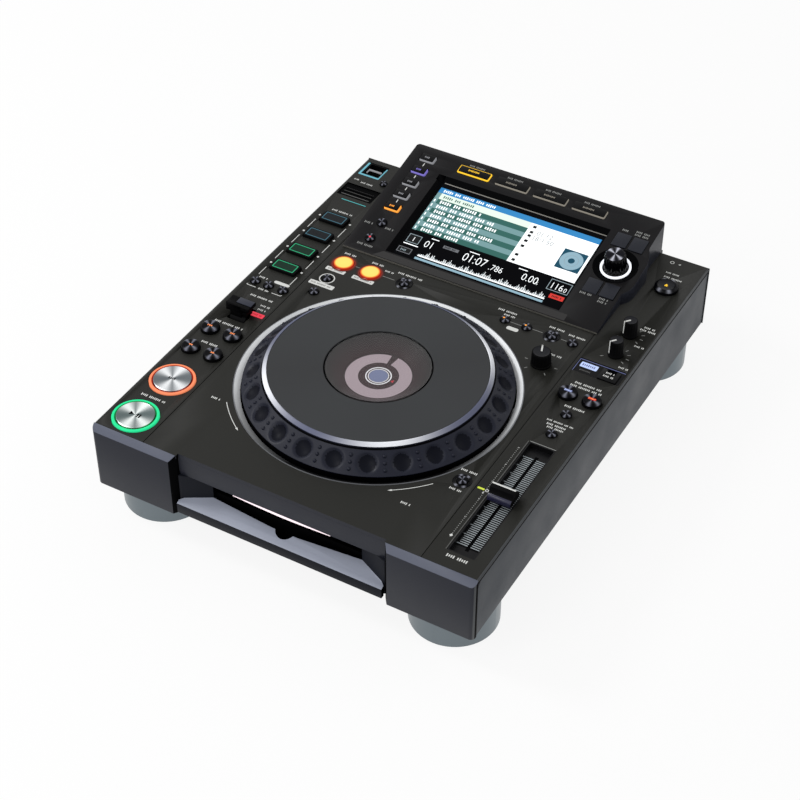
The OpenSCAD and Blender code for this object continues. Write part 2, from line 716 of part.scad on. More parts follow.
// Slopes the opening's left and upper edges down to the glass
module screen_bevel_cuts() {
    x = -screen_w / 2;
    v = screen_l / 2;
    translate([x - screen_bevel, 0, 0]) rotate([90, 0, 90]) linear_extrude(screen_w + screen_bevel)
        polygon([[v - 0.1, -skin_t], [v, -skin_t], [v + screen_bevel, 0], [v + screen_bevel, 1], [v - 0.1, 1]]);
    translate([0, v + screen_bevel, 0]) rotate([90, 0, 0]) linear_extrude(screen_l + screen_bevel)
        polygon([[x + 0.1, -skin_t], [x, -skin_t], [x - screen_bevel + 1, 0], [x - screen_bevel + 1, 1], [x + 0.1, 1]]);
}

module key_hole(size) {
    translate([0, 0, -skin_t - 1]) linear_extrude(skin_t + 2)
        rounded_rect([size[0] + 2 * key_gap, size[1] + 2 * key_gap], 1.3);
}

// Keys round the selector, with ends that follow its dish
module browse_outline(sx, sv, gap) {
    difference() {
        translate([sx * browse_dx, sv * browse_dv])
            square([browse_size[0] + 2 * gap, browse_size[1] + 2 * gap], center = true);
        circle(rotary_dish_r + 1.2 - gap);
    }
}

function console_bosses() = [
    [console_x0 + 9, 25], [console_x0 + 29, source_vs[3] - 8], [console_x0 + 5.6, source_vs[1] + 7.65],
    [screen_pos[0] - 81, slope_v(half_d) - 10], [screen_pos[0] + 70.5, slope_v(half_d) - 10],
    [console_x1 - 7, 26], [console_x1 - 7, slope_v(half_d) - 16.3]];

module touch_screen() color([0.1, 0.1, 0.12]) {
    on_console(screen_pos) translate([0, 0, -skin_t - glass_t])
        linear_extrude(glass_t) rounded_rect([screen_w + 6, screen_l + 4], 1.5);
}

module lcd_module() color("#b8bcc0") {
    on_console(screen_pos) translate([0, 1, -skin_t - glass_t - lcd_t]) {
        linear_extrude(lcd_t) rounded_rect([screen_w + 4, screen_l], 1);
        translate([-40, -25, -2]) cube([80, 50, 2]);
    }
}

// -------------------------------------------------------------- jog wheel

module at_jog() {
    translate([jog[0], jog[1], 0]) children();
}

module jog_rim_ring() color("#e4e6e8") {
    at_jog() rotate_extrude($fn = 192) polygon([
        [ring_inner_r, under_z - 2.5], [ring_r + 3, under_z - 2.5], [ring_r + 3, under_z], [ring_r, under_z],
        [ring_r, plate_z + 0.3], [ring_r - 0.8, plate_z + 0.3], [ring_inner_r, plate_z - 1.5]]);
}

module jog_bearing_post() color("#8c9094") {
    at_jog() {
        difference() {
            translate([0, 0, bracket_z]) linear_extrude(bracket_t) rounded_rect(bracket_size, 8);
            for (x = [-60, 60]) translate([x, 0, bracket_z - 1]) cylinder(h = bracket_t + 2, r = 22);
        }
        translate([0, 0, bracket_z]) cylinder(h = bracket_t + 2, r = post_r + hub_w, $fn = 96);
        translate([0, 0, bracket_z]) cylinder(h = plate_z - bracket_z, r = post_r, $fn = 96);
        for (p = pillar_at) translate([p[0], p[1], bracket_z]) cylinder(h = under_z - bracket_z, r = pillar_r);
    }
}

module jog_display() color("#1c1416") {
    at_jog() translate([0, 0, plate_z]) cylinder(h = display_z - plate_z, r = display_r, $fn = 128);
}

module jog_dial() color("#26283a") {
    cone_dr = dial_r - (crown_r + 0.8);
    cone_dz = trim_z - 1.1 - dial_edge_z;
    cone_l = norm([cone_dr, cone_dz]);
    nr = cone_dz / cone_l;
    nz = cone_dr / cone_l;
    wall = 5.2;
    mid_r = (dial_r + crown_r + 0.8) / 2;
    mid_z = dial_edge_z + cone_dz / 2;
    lift = dimple_ball_r - dimple_depth;
    at_jog() difference() {
        rotate_extrude($fn = 192) polygon([
            [post_r + post_fit, hub_bottom_z], [post_r + hub_w, hub_bottom_z], [post_r + hub_w, dial_bottom_z],
            [dial_r, dial_bottom_z], [dial_r, dial_edge_z], [crown_r + 0.8, trim_z - 1.1], [crown_r, trim_z],
            [platter_r + 0.15, trim_z], [platter_r + 0.15, trim_z + 1.5], [platter_r - 11, trim_z + 1.5],
            [platter_r - 11, trim_z - 0.5], [crown_r - 7.2, trim_z - 0.5],
            [crown_r + 0.8 - wall * nr, trim_z - 1.1 - wall * nz],
            [dial_r - wall * nr, max(dial_web_z, dial_edge_z - wall * nz)], [post_r + post_fit, dial_web_z]]);
        for (i = [0:dimples - 1]) rotate([0, 0, first_dimple + i * 360 / dimples])
            translate([mid_r + lift * nr, 0, mid_z + lift * nz]) sphere(dimple_ball_r, $fn = 48);
    }
}

module jog_trim_ring() color("#c8ccd8") {
    at_jog() rotate_extrude($fn = 192) polygon([
        [platter_r + 0.15, trim_z], [crown_r - 0.1, trim_z], [crown_r - 0.3, trim_z + 1],
        [platter_r + 0.9, trim_z + 3.1], [platter_r + 0.15, trim_z + 3.1]]);
}

module jog_platter() color("#3c3e40") {
    at_jog() translate([0, 0, trim_z + 1.5]) cylinder(h = 1.5, r = platter_r, $fn = 192);
}

// -------------------------------------------------------------- internals

module disc_drive_frame() color("#a8acb0") {
    x = drive_w / 2;
    difference() {
        union() {
            block(-x, x, drive_front_y, drive_back_y, drive_deck_z - 2, drive_deck_z);
            block(-x, x, drive_front_y, drive_back_y, drive_roof_z, drive_roof_z + 1.5);
            for (s = [-1, 1]) block(min(s * x, s * (x - 2)), max(s * x, s * (x - 2)),
                                    drive_front_y, drive_back_y, drive_deck_z - 2, drive_roof_z + 1.5);
            block(-x, x, drive_back_y - 2, drive_back_y, drive_deck_z - 2, drive_roof_z + 1.5);
            for (px = [-x + 4, x - 4], py = [drive_front_y + 8, drive_back_y - 8])
                translate([px, py, motor_z]) cylinder(h = drive_deck_z - motor_z - 1, r = 4);
            translate([0, spindle_y, motor_z]) cylinder(h = drive_deck_z - motor_z, r = motor_r);
        }
        translate([0, spindle_y, motor_z - 1]) cylinder(h = 20, r = spindle_shaft_r + running_fit);
        block(-rod_x - 8, rod_x + 8, sled_y - 2.5, sled_y + sled_l + pickup_travel + 2, drive_deck_z - 3, drive_deck_z + 1);
    }
    for (s = [-1, 1]) {
        translate([s * rod_x, sled_y - 3.5, rod_z]) rotate([-90, 0, 0])
            cylinder(h = sled_l + pickup_travel + 6.5, r = rod_r);
        for (y = [sled_y - 4.5, sled_y + sled_l + pickup_travel + 2])
            block(s * rod_x - 3, s * rod_x + 3, y, y + 2, rod_z - 3, drive_deck_z - 1);
    }
}

module disc_spindle() color("silver") {
    translate([0, spindle_y, 0]) rotate_extrude() polygon([
        [0, motor_z + 0.5], [spindle_shaft_r, motor_z + 0.5], [spindle_shaft_r, drive_deck_z + seat_gap],
        [hub_r + 5, drive_deck_z + seat_gap], [hub_r + 5, disc_z - 1.2], [hub_r, disc_z - 1.2],
        [hub_r - 0.8, disc_z - 0.1], [0, disc_z - 0.1]]);
}

module pickup_sled() color("#44484c") {
    z0 = rod_z - sled_h / 2;
    difference() {
        block(-rod_x - 4, rod_x + 4, sled_y, sled_y + sled_l, z0, z0 + sled_h);
        for (s = [-1, 1]) translate([s * rod_x, sled_y - 1, rod_z]) rotate([-90, 0, 0])
            cylinder(h = sled_l + 2, r = rod_r + running_fit);
    }
    translate([0, sled_y + 6, z0 + sled_h]) cylinder(h = 1.4, r = 3.5);
}

module board_with_parts(x0, x1, y0, y1, z, parts) {
    block(x0, x1, y0, y1, z, z + board_t);
    for (p = parts) block(p[0], p[0] + p[2], p[1], p[1] + p[3], z + board_t, z + board_t + p[4]);
}

module main_board() color("#1f5c38") {
    board_with_parts(lx(106), rx(8), fy(226), rear_y - 14, case_z + 8, [
        [lx(120), fy(250), 36, 36, 3], [lx(170), fy(255), 20, 14, 2], [rx(110), fy(300), 30, 30, 3],
        [rx(60), fy(260), 24, 18, 6], [rx(50), by(76), 12, 30, 12], [lx(140), by(66), 16, 16, 10]]);
}

module power_supply() color("#b08a4a") {
    board_with_parts(lx(8), lx(102), fy(264), rear_y - 14, case_z + 8, [
        [lx(20), fy(290), 34, 30, 20], [lx(66), fy(280), 18, 18, 24], [lx(66), fy(310), 22, 40, 14],
        [lx(24), by(71), 26, 20, 16]]);
}

// Switches, pots and the lever's bearing ears stand on these boards
module control_boards() color("#1f5c38") {
    z = board_z;
    top = board_z + board_t;
    block(-side_x + 0.3, lx(42), fy(13.5), rear_y - 4, z, top);
    block(rx(42), side_x - 0.3, fy(151), by(30), z, top);
    block(lx(47), rx(47), cy(69.5), cy(5.5), z, top);
    block(tempo_at[0][0] - 9, tempo_at[0][0] + 10, tempo_at[0][1] - 9, tempo_at[0][1] + 12, z, top);
    for (p = concat([cue_pos, play_pos, reloop_pos, loop_in_pos, loop_out_pos, eject_pos, sync_pos, master_pos,
                     mode_pos], track_search_at, search_at, bank_at, slip_at, memory_at, tempo_at,
                    [for (y = pad_ys) [pad_x, y]]))
        translate([p[0], p[1], top]) tact_switch();
    for (p = [release_pos, brake_pos, jog_adjust_pos]) translate([p[0], p[1], top]) cylinder(h = 6, r = 7);
    for (s = [-1, 1]) difference() {
        translate([lever_pos[0] + s * (lever_barrel[0] / 2 + 2) - 1.5, lever_pos[1] - 4, top])
            cube([3, 8, under_z - top]);
        lever_bore();
    }
    on_console([0, 0]) {
        block(console_x0 + 5.5, console_x0 + 33, 11, slope_v(half_d) - 6.3, -board_drop - board_t, -board_drop);
        block(screen_pos[0] - 84, screen_pos[0] + 74, slope_v(half_d) - 21, slope_v(half_d) - 7.3,
              -board_drop - board_t, -board_drop);
        block(console_x1 - 31, console_x1 - 5.5, 22, slope_v(half_d) - 10.3, -board_drop - board_t, -board_drop);
    }
    for (p = concat([for (v = source_vs) [source_x, v]], side_key_at, [for (x = menu_xs) [x, menu_v]],
                    [for (sx = [-1, 1], sv = [-1, 1])
                        [rotary_pos[0] + sx * browse_dx, rotary_pos[1] + sv * browse_dv]]))
        on_console(p) translate([0, 0, -board_drop]) tact_switch();
    on_console(rotary_pos) translate([-6, -6, -board_drop]) cube([12, 12, 4]);
}

module lever_bore() {
    translate([lever_pos[0] - 20, lever_pos[1], plate_z - lever_drop]) rotate([0, 90, 0])
        cylinder(h = 40, r = 1.5 + running_fit);
}

// The lit frame with the memory-stick port, and the card socket under its door
module media_sockets() color("#a8d8e0") {
    top = board_z + board_t;
    frame = [usb_size[0] - 0.4, usb_size[1] - 0.4];
    translate([usb_pos[0], usb_pos[1], 0]) {
        difference() {
            union() {
                translate([0, 0, top]) linear_extrude(plate_z - 0.2 - top) rounded_rect(frame, 1);
                translate([0.6, 0, under_z - 2]) linear_extrude(2)
                    rounded_rect([frame[0] + 1.6, frame[1] + 2.4], 1);
            }
            translate([1, 1, plate_z - 6]) linear_extrude(7) square([frame[0] - 5, frame[1] - 5], center = true);
            translate([1, 0, top + 1.4]) linear_extrude(20) square(usb_port, center = true);
        }
        translate([-4.3, 0.6, top + 1]) cube([10.6, 1.7, 3]);
    }
    translate([door_pos[0], door_pos[1], top]) difference() {
        translate([-13.5, -8, 0]) cube([27, 16, 8]);
        translate([-12, -2.5, 2]) cube([24, 2.4, 7]);
    }
}

module tempo_fader_track() color("#151517") {
    outer = [fader_w - 0.3, fader_l - 0.3];
    floor_z = under_z - 1.5;
    translate([fader_pos[0], fader_pos[1], 0]) difference() {
        union() {
            translate([0, 0, floor_z - 2]) linear_extrude(plate_z - 0.2 - floor_z + 2) rounded_rect(outer, 1);
            translate([0, 0, floor_z - 2]) linear_extrude(3.5) rounded_rect([outer[0] + 3, outer[1] + 3], 1);
            translate([0, 0, floor_z - 12]) linear_extrude(10) square([16, fader_l - 4], center = true);
        }
        translate([0, 0, floor_z]) linear_extrude(10) rounded_rect([outer[0] - 2, outer[1] - 2], 1);
        translate([0, 0, floor_z - 3]) linear_extrude(4) square([2.6, 2 * fader_travel + 8], center = true);
        translate([0, 0, floor_z - 10.5]) linear_extrude(8.5) square([11, 2 * fader_travel + 16], center = true);
    }
    for (x = [-5.2, 5.2]) translate([fader_pos[0] + x, fader_pos[1], floor_z])
        linear_extrude(0.6) square([7.6, 2 * fader_travel + 2], center = true);
}

// Rings of light round the cue key, the play key and the selector
module light_rings() color("#7cf0b0") {
    inner = transport_r + key_gap;
    outer = inner + transport_ring_w;
    for (p = [cue_pos, play_pos]) clear_of_sides() on_plate(p) rotate_extrude($fn = 96) polygon([
        [inner, -skin_t - 2.2], [outer + 1.3, -skin_t - 2.2], [outer + 1.3, -skin_t], [outer, -skin_t],
        [outer, 0.4], [outer - 0.5, 0.8], [inner + 0.4, 0.8], [inner, 0.4]]);
    on_console(rotary_pos) translate([0, 0, -rotary_floor]) rotate_extrude($fn = 96)
        polygon([[rotary_r + 1.2, 0], [rotary_r + 3.3, 0], [rotary_r + 3.3, 1], [rotary_r + 2.9, 1.5], [rotary_r + 1.2, 1.5]]);
}

// ------------------------------------------------------------ moving keys

module transport_key() {
    low = skin_t + 2.2 + seat_gap + flange_t;
    r = transport_r;
    rotate_extrude($fn = 96) polygon([
        [0, -stem_drop], [stem_r, -stem_drop], [stem_r, -low], [r + 1.8, -low],
        [r + 1.8, -low + flange_t], [r, -low + flange_t], [r, 1], [r - 0.7, 1.6], [0, 1.6]]);
}

module play_button() color("#c8cccc") on_plate(play_pos) transport_key();
module cue_button() color("#c8cccc") on_plate(cue_pos) transport_key();

module hot_cue_pad(i) {
    on_plate([pad_x, pad_ys[i]]) rect_key(pad_size, 1, 2.5);
}

module hot_cue_pad_a() color("#2f4a52") hot_cue_pad(0);
module hot_cue_pad_b() color("#2f4a52") hot_cue_pad(1);
module hot_cue_pad_c() color("#14683c") hot_cue_pad(2);
module hot_cue_pad_d() color("#14683c") hot_cue_pad(3);

// Three-position paddle on a barrel that turns in the board's two ears
module direction_lever() color("#0c0c0d") {
    half = lever_barrel[0] / 2;
    z0 = lever_drop + lever_rise - lever_head[2];
    translate([lever_pos[0], lever_pos[1], plate_z - lever_drop]) {
        translate([-half, 0, 0]) rotate([0, 90, 0]) cylinder(h = 2 * half, r = lever_barrel[1]);
        translate([-half - 3.4, 0, 0]) rotate([0, 90, 0]) cylinder(h = 2 * half + 6.8, r = 1.5);
        difference() {
            union() {
                translate([-half, -4, 0]) cube([2 * half, 8, z0 + 1]);
                translate([-lever_head[0] / 2, -lever_head[1] / 2, z0]) cube(lever_head);
            }
            translate([-lever_head[0], 0, z0 + lever_head[2] + 9.4]) rotate([0, 90, 0])
                cylinder(h = 2 * lever_head[0], r = 10);
        }
    }
}

module track_search_buttons() color("#1a1714") for (p = track_search_at) on_plate(p) round_key(search_r, 4);
module search_buttons() color("#1a1714") for (p = search_at) on_plate(p) round_key(search_r, 4);
module bank_buttons() color("#17171a") for (i = [0:3]) on_plate(bank_at[i]) round_key(bank_r[i], 1.8);
module loop_in_button() color("#f4e06a") on_plate(loop_in_pos) round_key(loop_r, 1.4);
module loop_out_button() color("#f4e06a") on_plate(loop_out_pos) round_key(loop_r, 1.4);
module reloop_button() color("#17171a") on_plate(reloop_pos) round_key(small_r, 1.2);
module slip_buttons() color("#17171a") for (p = slip_at) on_plate(p) round_key(small_r, 1.2);
module memory_buttons() color("#17171a") for (p = memory_at) on_plate(p) round_key(small_r, 1.2);
module tempo_buttons() color("#17171a") for (p = tempo_at) on_plate(p) round_key(small_r, 1.8);
module sync_button() color("#4a5878") on_plate(sync_pos) round_key(sync_r, 4);
module master_button() color("#a04838") clear_of_sides() on_plate(master_pos) round_key(sync_r, 4);
module jog_mode_button() color("#17171a") on_plate(mode_pos) rect_key(mode_size, 1, 0.6);

module eject_button() color("#121214") on_plate(eject_pos) {
    round_key(eject_r, 2.6);
    intersection() {
        translate([0, 0, 5 - 16]) sphere(16, $fn = 96);
        translate([0, 0, 2]) cylinder(h = 4, r = eject_r - 1.2);
    }
}

module sd_door() color("#0e0e10") {
    y1 = door_size[1] / 2 - door_hinge_inset;
    translate([door_pos[0], door_pos[1], door_z]) {
        difference() {
            translate([-door_size[0] / 2, -door_size[1] / 2, -0.9]) cube([door_size[0], door_size[1] / 2 + y1, 1.8]);
            for (y = [-6.5, -3, 0.5]) translate([-door_size[0] / 2 + 3, y - 0.5, 0.4]) cube([door_size[0] - 6, 1, 2]);
        }
        translate([-door_size[0] / 2, y1, 0]) rotate([0, 90, 0]) cylinder(h = door_size[0], r = door_barrel_r);
        translate([-door_size[0] / 2 - 1.6, y1, 0]) rotate([0, 90, 0])
            cylinder(h = door_size[0] + 3.2, r = door_pin_r);
    }
}

module jog_adjust_knob() color("#111113") on_plate(jog_adjust_pos) knob(8, 12.5, board_drop - 6.3);
module release_speed_knob() color("#111113") on_plate(release_pos) knob(6, 15, board_drop - 6.3);
module brake_speed_knob() color("#111113") on_plate(brake_pos) knob(6, 15, board_drop - 6.3);

// Cap, blade through the slot, and the carriage inside the track
module tempo_fader_knob() color("#121216") {
    floor_z = under_z - 1.5;
    translate([fader_pos[0], fader_pos[1], 0]) {
        difference() {
            translate([0, 0, plate_z + 0.6]) linear_extrude(fader_cap[2]) rounded_rect([fader_cap[0], fader_cap[1]], 1);
            for (s = [-1, 1]) translate([-fader_cap[0], s * (fader_cap[1] / 2 + 3), plate_z + fader_cap[2] + 3])
                rotate([0, 90, 0]) cylinder(h = 2 * fader_cap[0], r = 6.6);
        }
        translate([-1, -3, floor_z - 6]) cube([2, 6, plate_z + 1 - floor_z + 6]);
        translate([-5, -6, floor_z - 9]) cube([10, 12, 5]);
    }
}

module source_buttons() color("#1c1c20") for (v = source_vs) on_console([source_x, v]) rect_key(source_size, 1, 1.2);
module display_side_buttons() color("#141416") for (p = side_key_at) on_console(p) round_key(small_r, 1);
module menu_buttons() color("#1c1c20") for (x = menu_xs) on_console([x, menu_v]) rect_key(menu_size, 1, 1.2);

module browse_buttons() color("#26262c") on_console(rotary_pos) {
    low = skin_t + seat_gap + flange_t;
    for (sx = [-1, 1], sv = [-1, 1]) {
        translate([0, 0, -low]) linear_extrude(low + 0.8) browse_outline(sx, sv, 0);
        translate([0, 0, -low]) linear_extrude(flange_t) browse_outline(sx, sv, 0.6);
        translate([sx * browse_dx, sv * browse_dv, -stem_drop]) cylinder(h = stem_drop - low, r = stem_r);
    }
}

// Fluted knob on the selector's shaft
module rotary_selector() color("#0d0d0e") on_console(rotary_pos) {
    ribs = 28;
    low = -rotary_floor + seat_gap;
    translate([0, 0, low]) linear_extrude(rotary_h - 2) difference() {
        circle(rotary_r);
        for (i = [0:ribs - 1]) rotate(i * 360 / ribs) translate([rotary_r + 0.1, 0]) circle(0.6);
    }
    translate([0, 0, low + rotary_h - 2]) cylinder(h = 2, r1 = rotary_r - 0.9, r2 = rotary_r - 2.2);
    translate([0, 0, -board_drop + 4.3]) cylinder(h = board_drop + low - 4.3, r = knob_shaft_r);
}

module power_button() color("#121214") {
    facing_rear(switch_pos) {
        translate([-switch_cap[0] / 2, -switch_cap[1] / 2, -5.5]) cube([switch_cap[0], switch_cap[1], 9]);
        translate([-switch_cap[0] / 2 - 1, -switch_cap[1] / 2 - 1, -5.5])
            cube([switch_cap[0] + 2, switch_cap[1] + 2, 3.2]);
        translate([-2, -2, -9.7]) cube([4, 4, 5]);
    }
}

base_chassis();
side_panels();
front_bezel();
slot_lip();
slot_light_bar();
top_panel();
rear_panel();
rear_sockets();
power_inlet();
display_housing();
touch_screen();
lcd_module();
jog_rim_ring();
jog_bearing_post();
jog_display();
disc_drive_frame();
main_board();
power_supply();
control_boards();
media_sockets();
tempo_fader_track();
light_rings();
feet();
screws();
jog_dial();
jog_trim_ring();
jog_platter();
play_button();
cue_button();
hot_cue_pad_a();
hot_cue_pad_b();
hot_cue_pad_c();
hot_cue_pad_d();
direction_lever();
track_search_buttons();
search_buttons();
bank_buttons();
sd_door();
loop_in_button();
loop_out_button();
reloop_button();
slip_buttons();
memory_buttons();
tempo_buttons();
jog_adjust_knob();
eject_button();
release_speed_knob();
brake_speed_knob();
jog_mode_button();
sync_button();
master_button();
tempo_fader_knob();
source_buttons();
display_side_buttons();
menu_buttons();
browse_buttons();
rotary_selector();
power_button();
disc_spindle();
pickup_sled();
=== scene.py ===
"""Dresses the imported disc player: finishes, lit keys, printed marks, screen and wheel.

Lengths are millimetres unless a name says otherwise; Sketch turns them to metres.
"""

import math

import bmesh
import bpy
from bpy.props import FloatProperty, FloatVectorProperty, IntProperty, PointerProperty
from mathutils import Matrix, Vector


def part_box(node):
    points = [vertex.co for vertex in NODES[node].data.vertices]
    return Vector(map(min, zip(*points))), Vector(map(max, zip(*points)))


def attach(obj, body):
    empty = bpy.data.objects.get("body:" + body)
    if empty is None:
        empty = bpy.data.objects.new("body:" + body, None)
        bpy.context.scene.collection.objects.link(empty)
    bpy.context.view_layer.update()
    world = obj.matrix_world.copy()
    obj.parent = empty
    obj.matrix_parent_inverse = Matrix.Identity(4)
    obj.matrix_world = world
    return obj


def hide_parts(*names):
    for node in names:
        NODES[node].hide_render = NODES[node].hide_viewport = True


bl_info = {
    "name": "Disc player finishes",
    "version": (1, 0, 0),
    "blender": (4, 5, 0),
    "location": "3D View > Sidebar > Disc player",
    "description": "Finishes, lit keys, printed marks and screen of a tabletop disc player",
    "category": "Object",
}

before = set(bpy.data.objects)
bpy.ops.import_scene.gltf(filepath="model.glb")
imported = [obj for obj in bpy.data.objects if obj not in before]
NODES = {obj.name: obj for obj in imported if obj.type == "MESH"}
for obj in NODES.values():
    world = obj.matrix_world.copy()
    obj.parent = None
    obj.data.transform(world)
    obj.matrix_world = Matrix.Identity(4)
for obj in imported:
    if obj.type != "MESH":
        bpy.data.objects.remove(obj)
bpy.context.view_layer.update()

MM = 0.001
BODY = "chassis"
WHEEL = "jog_wheel"
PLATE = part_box("top_panel")[1].z / MM
CONSOLE_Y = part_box("display_housing")[0].y / MM
CONSOLE_RISE = 1.5
TILT = math.radians(12)
GLASS_DEPTH = 3.0
REAR_FACE_Y = 192
JOG = (0, -57.5)
CUE = (-137.4, -130.2)
PLAY = (-137.4, -177.4)
LOOP_IN = (-100, 57.5)
LOOP_OUT = (-75, 57.5)
FADER = (137.8, -120)
LEVER = (-136, -38)
SELECTOR = (100.2, 69.0)

# The lowest and highest face of a printed mark, from the surface that it lies on.
PRINT = (-0.02, 0.05)
OVER_PRINT = (PRINT[1], PRINT[1] + 0.03)
FADER_PRINT = (-0.02, 0.06)
PICTURE = (-0.02, 0.1)
KEY_FOOT = -2.5


def colour(r, g, b):
    """Linear colour from 0 to 255 values as they look on a display."""
    return tuple(
        v / 12.92 if v <= 0.04045 else ((v + 0.055) / 1.055) ** 2.4
        for v in (r / 255, g / 255, b / 255)
    )


# ---------------------------------------------------------------- settings


def colour_setting(name, description, default):
    return FloatVectorProperty(
        name=name, description=description, subtype="COLOR", size=3, min=0, max=1,
        default=colour(*default))


def angle_setting(name, description, degrees, **limits):
    return FloatProperty(
        name=name, description=description, subtype="ANGLE", unit="ROTATION",
        default=math.radians(degrees), **limits)


class PlayerCaseSettings(bpy.types.PropertyGroup):
    panel: colour_setting("Panel", "Colour of the control panel", (28, 28, 25))
    front: colour_setting("Front", "Colour of the front blocks and the band", (31, 33, 42))
    sides: colour_setting("Sides", "Colour of the side panels", (52, 56, 62))
    lip: colour_setting("Lip", "Colour of the sloping lip under the slot", (152, 157, 172))
    feet: colour_setting("Feet", "Colour of the feet", (112, 121, 126))
    edge_round: FloatProperty(
        name="Edge rounding", description="Rounding of the case's moulded edges",
        subtype="DISTANCE", unit="LENGTH", min=0.0001, max=0.001, default=0.0004)


class PlayerLampSettings(bpy.types.PropertyGroup):
    cue: colour_setting("Cue", "Colour of the ring round the cue key", (246, 140, 98))
    play: colour_setting("Play", "Colour of the ring round the play key", (40, 226, 150))
    loop: colour_setting("Loop", "Colour of the loop keys", (255, 236, 120))
    ports: colour_setting("Ports", "Colour of the memory-stick port's light", (104, 170, 186))


class PlayerWheelSettings(bpy.types.PropertyGroup):
    dimples: IntProperty(
        name="Dimples", description="Number of finger dimples round the dial",
        min=12, max=36, default=24)
    dimple_depth: FloatProperty(
        name="Dimple depth", description="Depth of a finger dimple",
        subtype="DISTANCE", unit="LENGTH", min=0.001, max=0.0035, default=0.003)
    first_dimple: angle_setting(
        "First dimple", "Angle of the first dimple from +X", 10.5, min=0, max=math.radians(30))
    studs: IntProperty(
        name="Studs", description="Small studs in each row between two dimples",
        min=1, max=5, default=3)


class PlayerStageSettings(bpy.types.PropertyGroup):
    camera_place: FloatVectorProperty(
        name="Camera place", description="Where the camera stands", subtype="XYZ",
        unit="LENGTH", size=3, default=(0.54656, -0.97805, 1.00878))
    azimuth: angle_setting("Azimuth", "Direction of view round the vertical", 29.838)
    elevation: angle_setting("Elevation", "Angle of view below the horizon", 41.347)
    lens: FloatProperty(
        name="Lens", description="Focal length in millimetres", min=20, max=200, default=84.78)


# -------------------------------------------------------------- node trees


def feed(tree, node, values):
    """Feeds a node's inputs, by name or number, with links or plain values."""
    for key, value in values.items():
        socket = node.inputs[key]
        if isinstance(value, bpy.types.NodeSocket):
            tree.links.new(value, socket)
        else:
            socket.default_value = (*value, 1) if socket.type == "RGBA" else value


def add_node(tree, kind, values=(), **settings):
    node = tree.nodes.new(kind)
    for key, value in settings.items():
        setattr(node, key, value)
    feed(tree, node, dict(values))
    return node


def math_node(tree, operation, *values):
    return add_node(tree, "ShaderNodeMath", enumerate(values), operation=operation).outputs[0]


def vector_node(tree, operation, *values):
    return add_node(tree, "ShaderNodeVectorMath", enumerate(values), operation=operation).outputs


def object_place(tree):
    return add_node(tree, "ShaderNodeTexCoord").outputs["Object"]


def mixed_colour(tree, share, first, second):
    """Two colours mixed by share; each may be a value or a link."""
    mix = add_node(tree, "ShaderNodeMix", {"Factor": share}, data_type="RGBA")
    ends = [i for i, item in enumerate(mix.inputs) if item.type == "RGBA"]
    feed(tree, mix, dict(zip(ends, (first, second))))
    return next(item for item in mix.outputs if item.type == "RGBA")


def new_tree(kind, name, inputs, outputs):
    """A node group with named sockets, and the sockets that its own nodes read and feed."""
    tree = bpy.data.node_groups.new(name, kind)
    for label, socket_kind, value in inputs:
        socket = tree.interface.new_socket(
            name=label, in_out="INPUT", socket_type="NodeSocket" + socket_kind)
        if value is not None:
            socket.default_value = value
    for label, socket_kind in outputs:
        tree.interface.new_socket(
            name=label, in_out="OUTPUT", socket_type="NodeSocket" + socket_kind)
    return tree, tree.nodes.new("NodeGroupInput").outputs, tree.nodes.new("NodeGroupOutput")


def once(name):
    """Makes the function under it build its node group on the first call and find it later."""
    def keep(build):
        return lambda: bpy.data.node_groups.get(name) or build(name)
    return keep


@once("Fine grain")
def grain_group(name):
    """Moulded or painted grain with soft smudges: colour, roughness and height."""
    tree, given, result = new_tree(
        "ShaderNodeTree", name,
        [("Colour", "Color", (0.5, 0.5, 0.5, 1)), ("Grain scale", "Float", 2500.0),
         ("Variation", "Float", 0.1), ("Roughness", "Float", 0.5), ("Smudge", "Float", 0.06)],
        [("Colour", "Color"), ("Roughness", "Float"), ("Height", "Float")])
    place = object_place(tree)
    fine = add_node(tree, "ShaderNodeTexNoise", {
        "Detail": 3, "Vector": place, "Scale": given["Grain scale"]}).outputs["Fac"]
    broad = add_node(tree, "ShaderNodeTexNoise", {
        "Scale": 26, "Detail": 5, "Vector": place}).outputs["Fac"]
    offset = math_node(tree, "SUBTRACT", fine, 0.5)
    swing = math_node(tree, "MULTIPLY", offset, given["Variation"])
    cloudy = math_node(
        tree, "MULTIPLY", math_node(tree, "SUBTRACT", broad, 0.5), given["Smudge"])
    gain = math_node(tree, "ADD", math_node(tree, "MULTIPLY", swing, 2.0),
                     math_node(tree, "ADD", cloudy, 1.0))
    tint = add_node(tree, "ShaderNodeVectorMath", operation="SCALE")
    feed(tree, tint, {0: given["Colour"], "Scale": gain})
    rough = math_node(tree, "ADD", given["Roughness"], math_node(tree, "MULTIPLY", cloudy, 2.0))
    rough = math_node(tree, "ADD", rough, math_node(tree, "MULTIPLY", offset, 0.1))
    feed(tree, result, {"Colour": tint.outputs[0], "Roughness": rough, "Height": fine})
    return tree


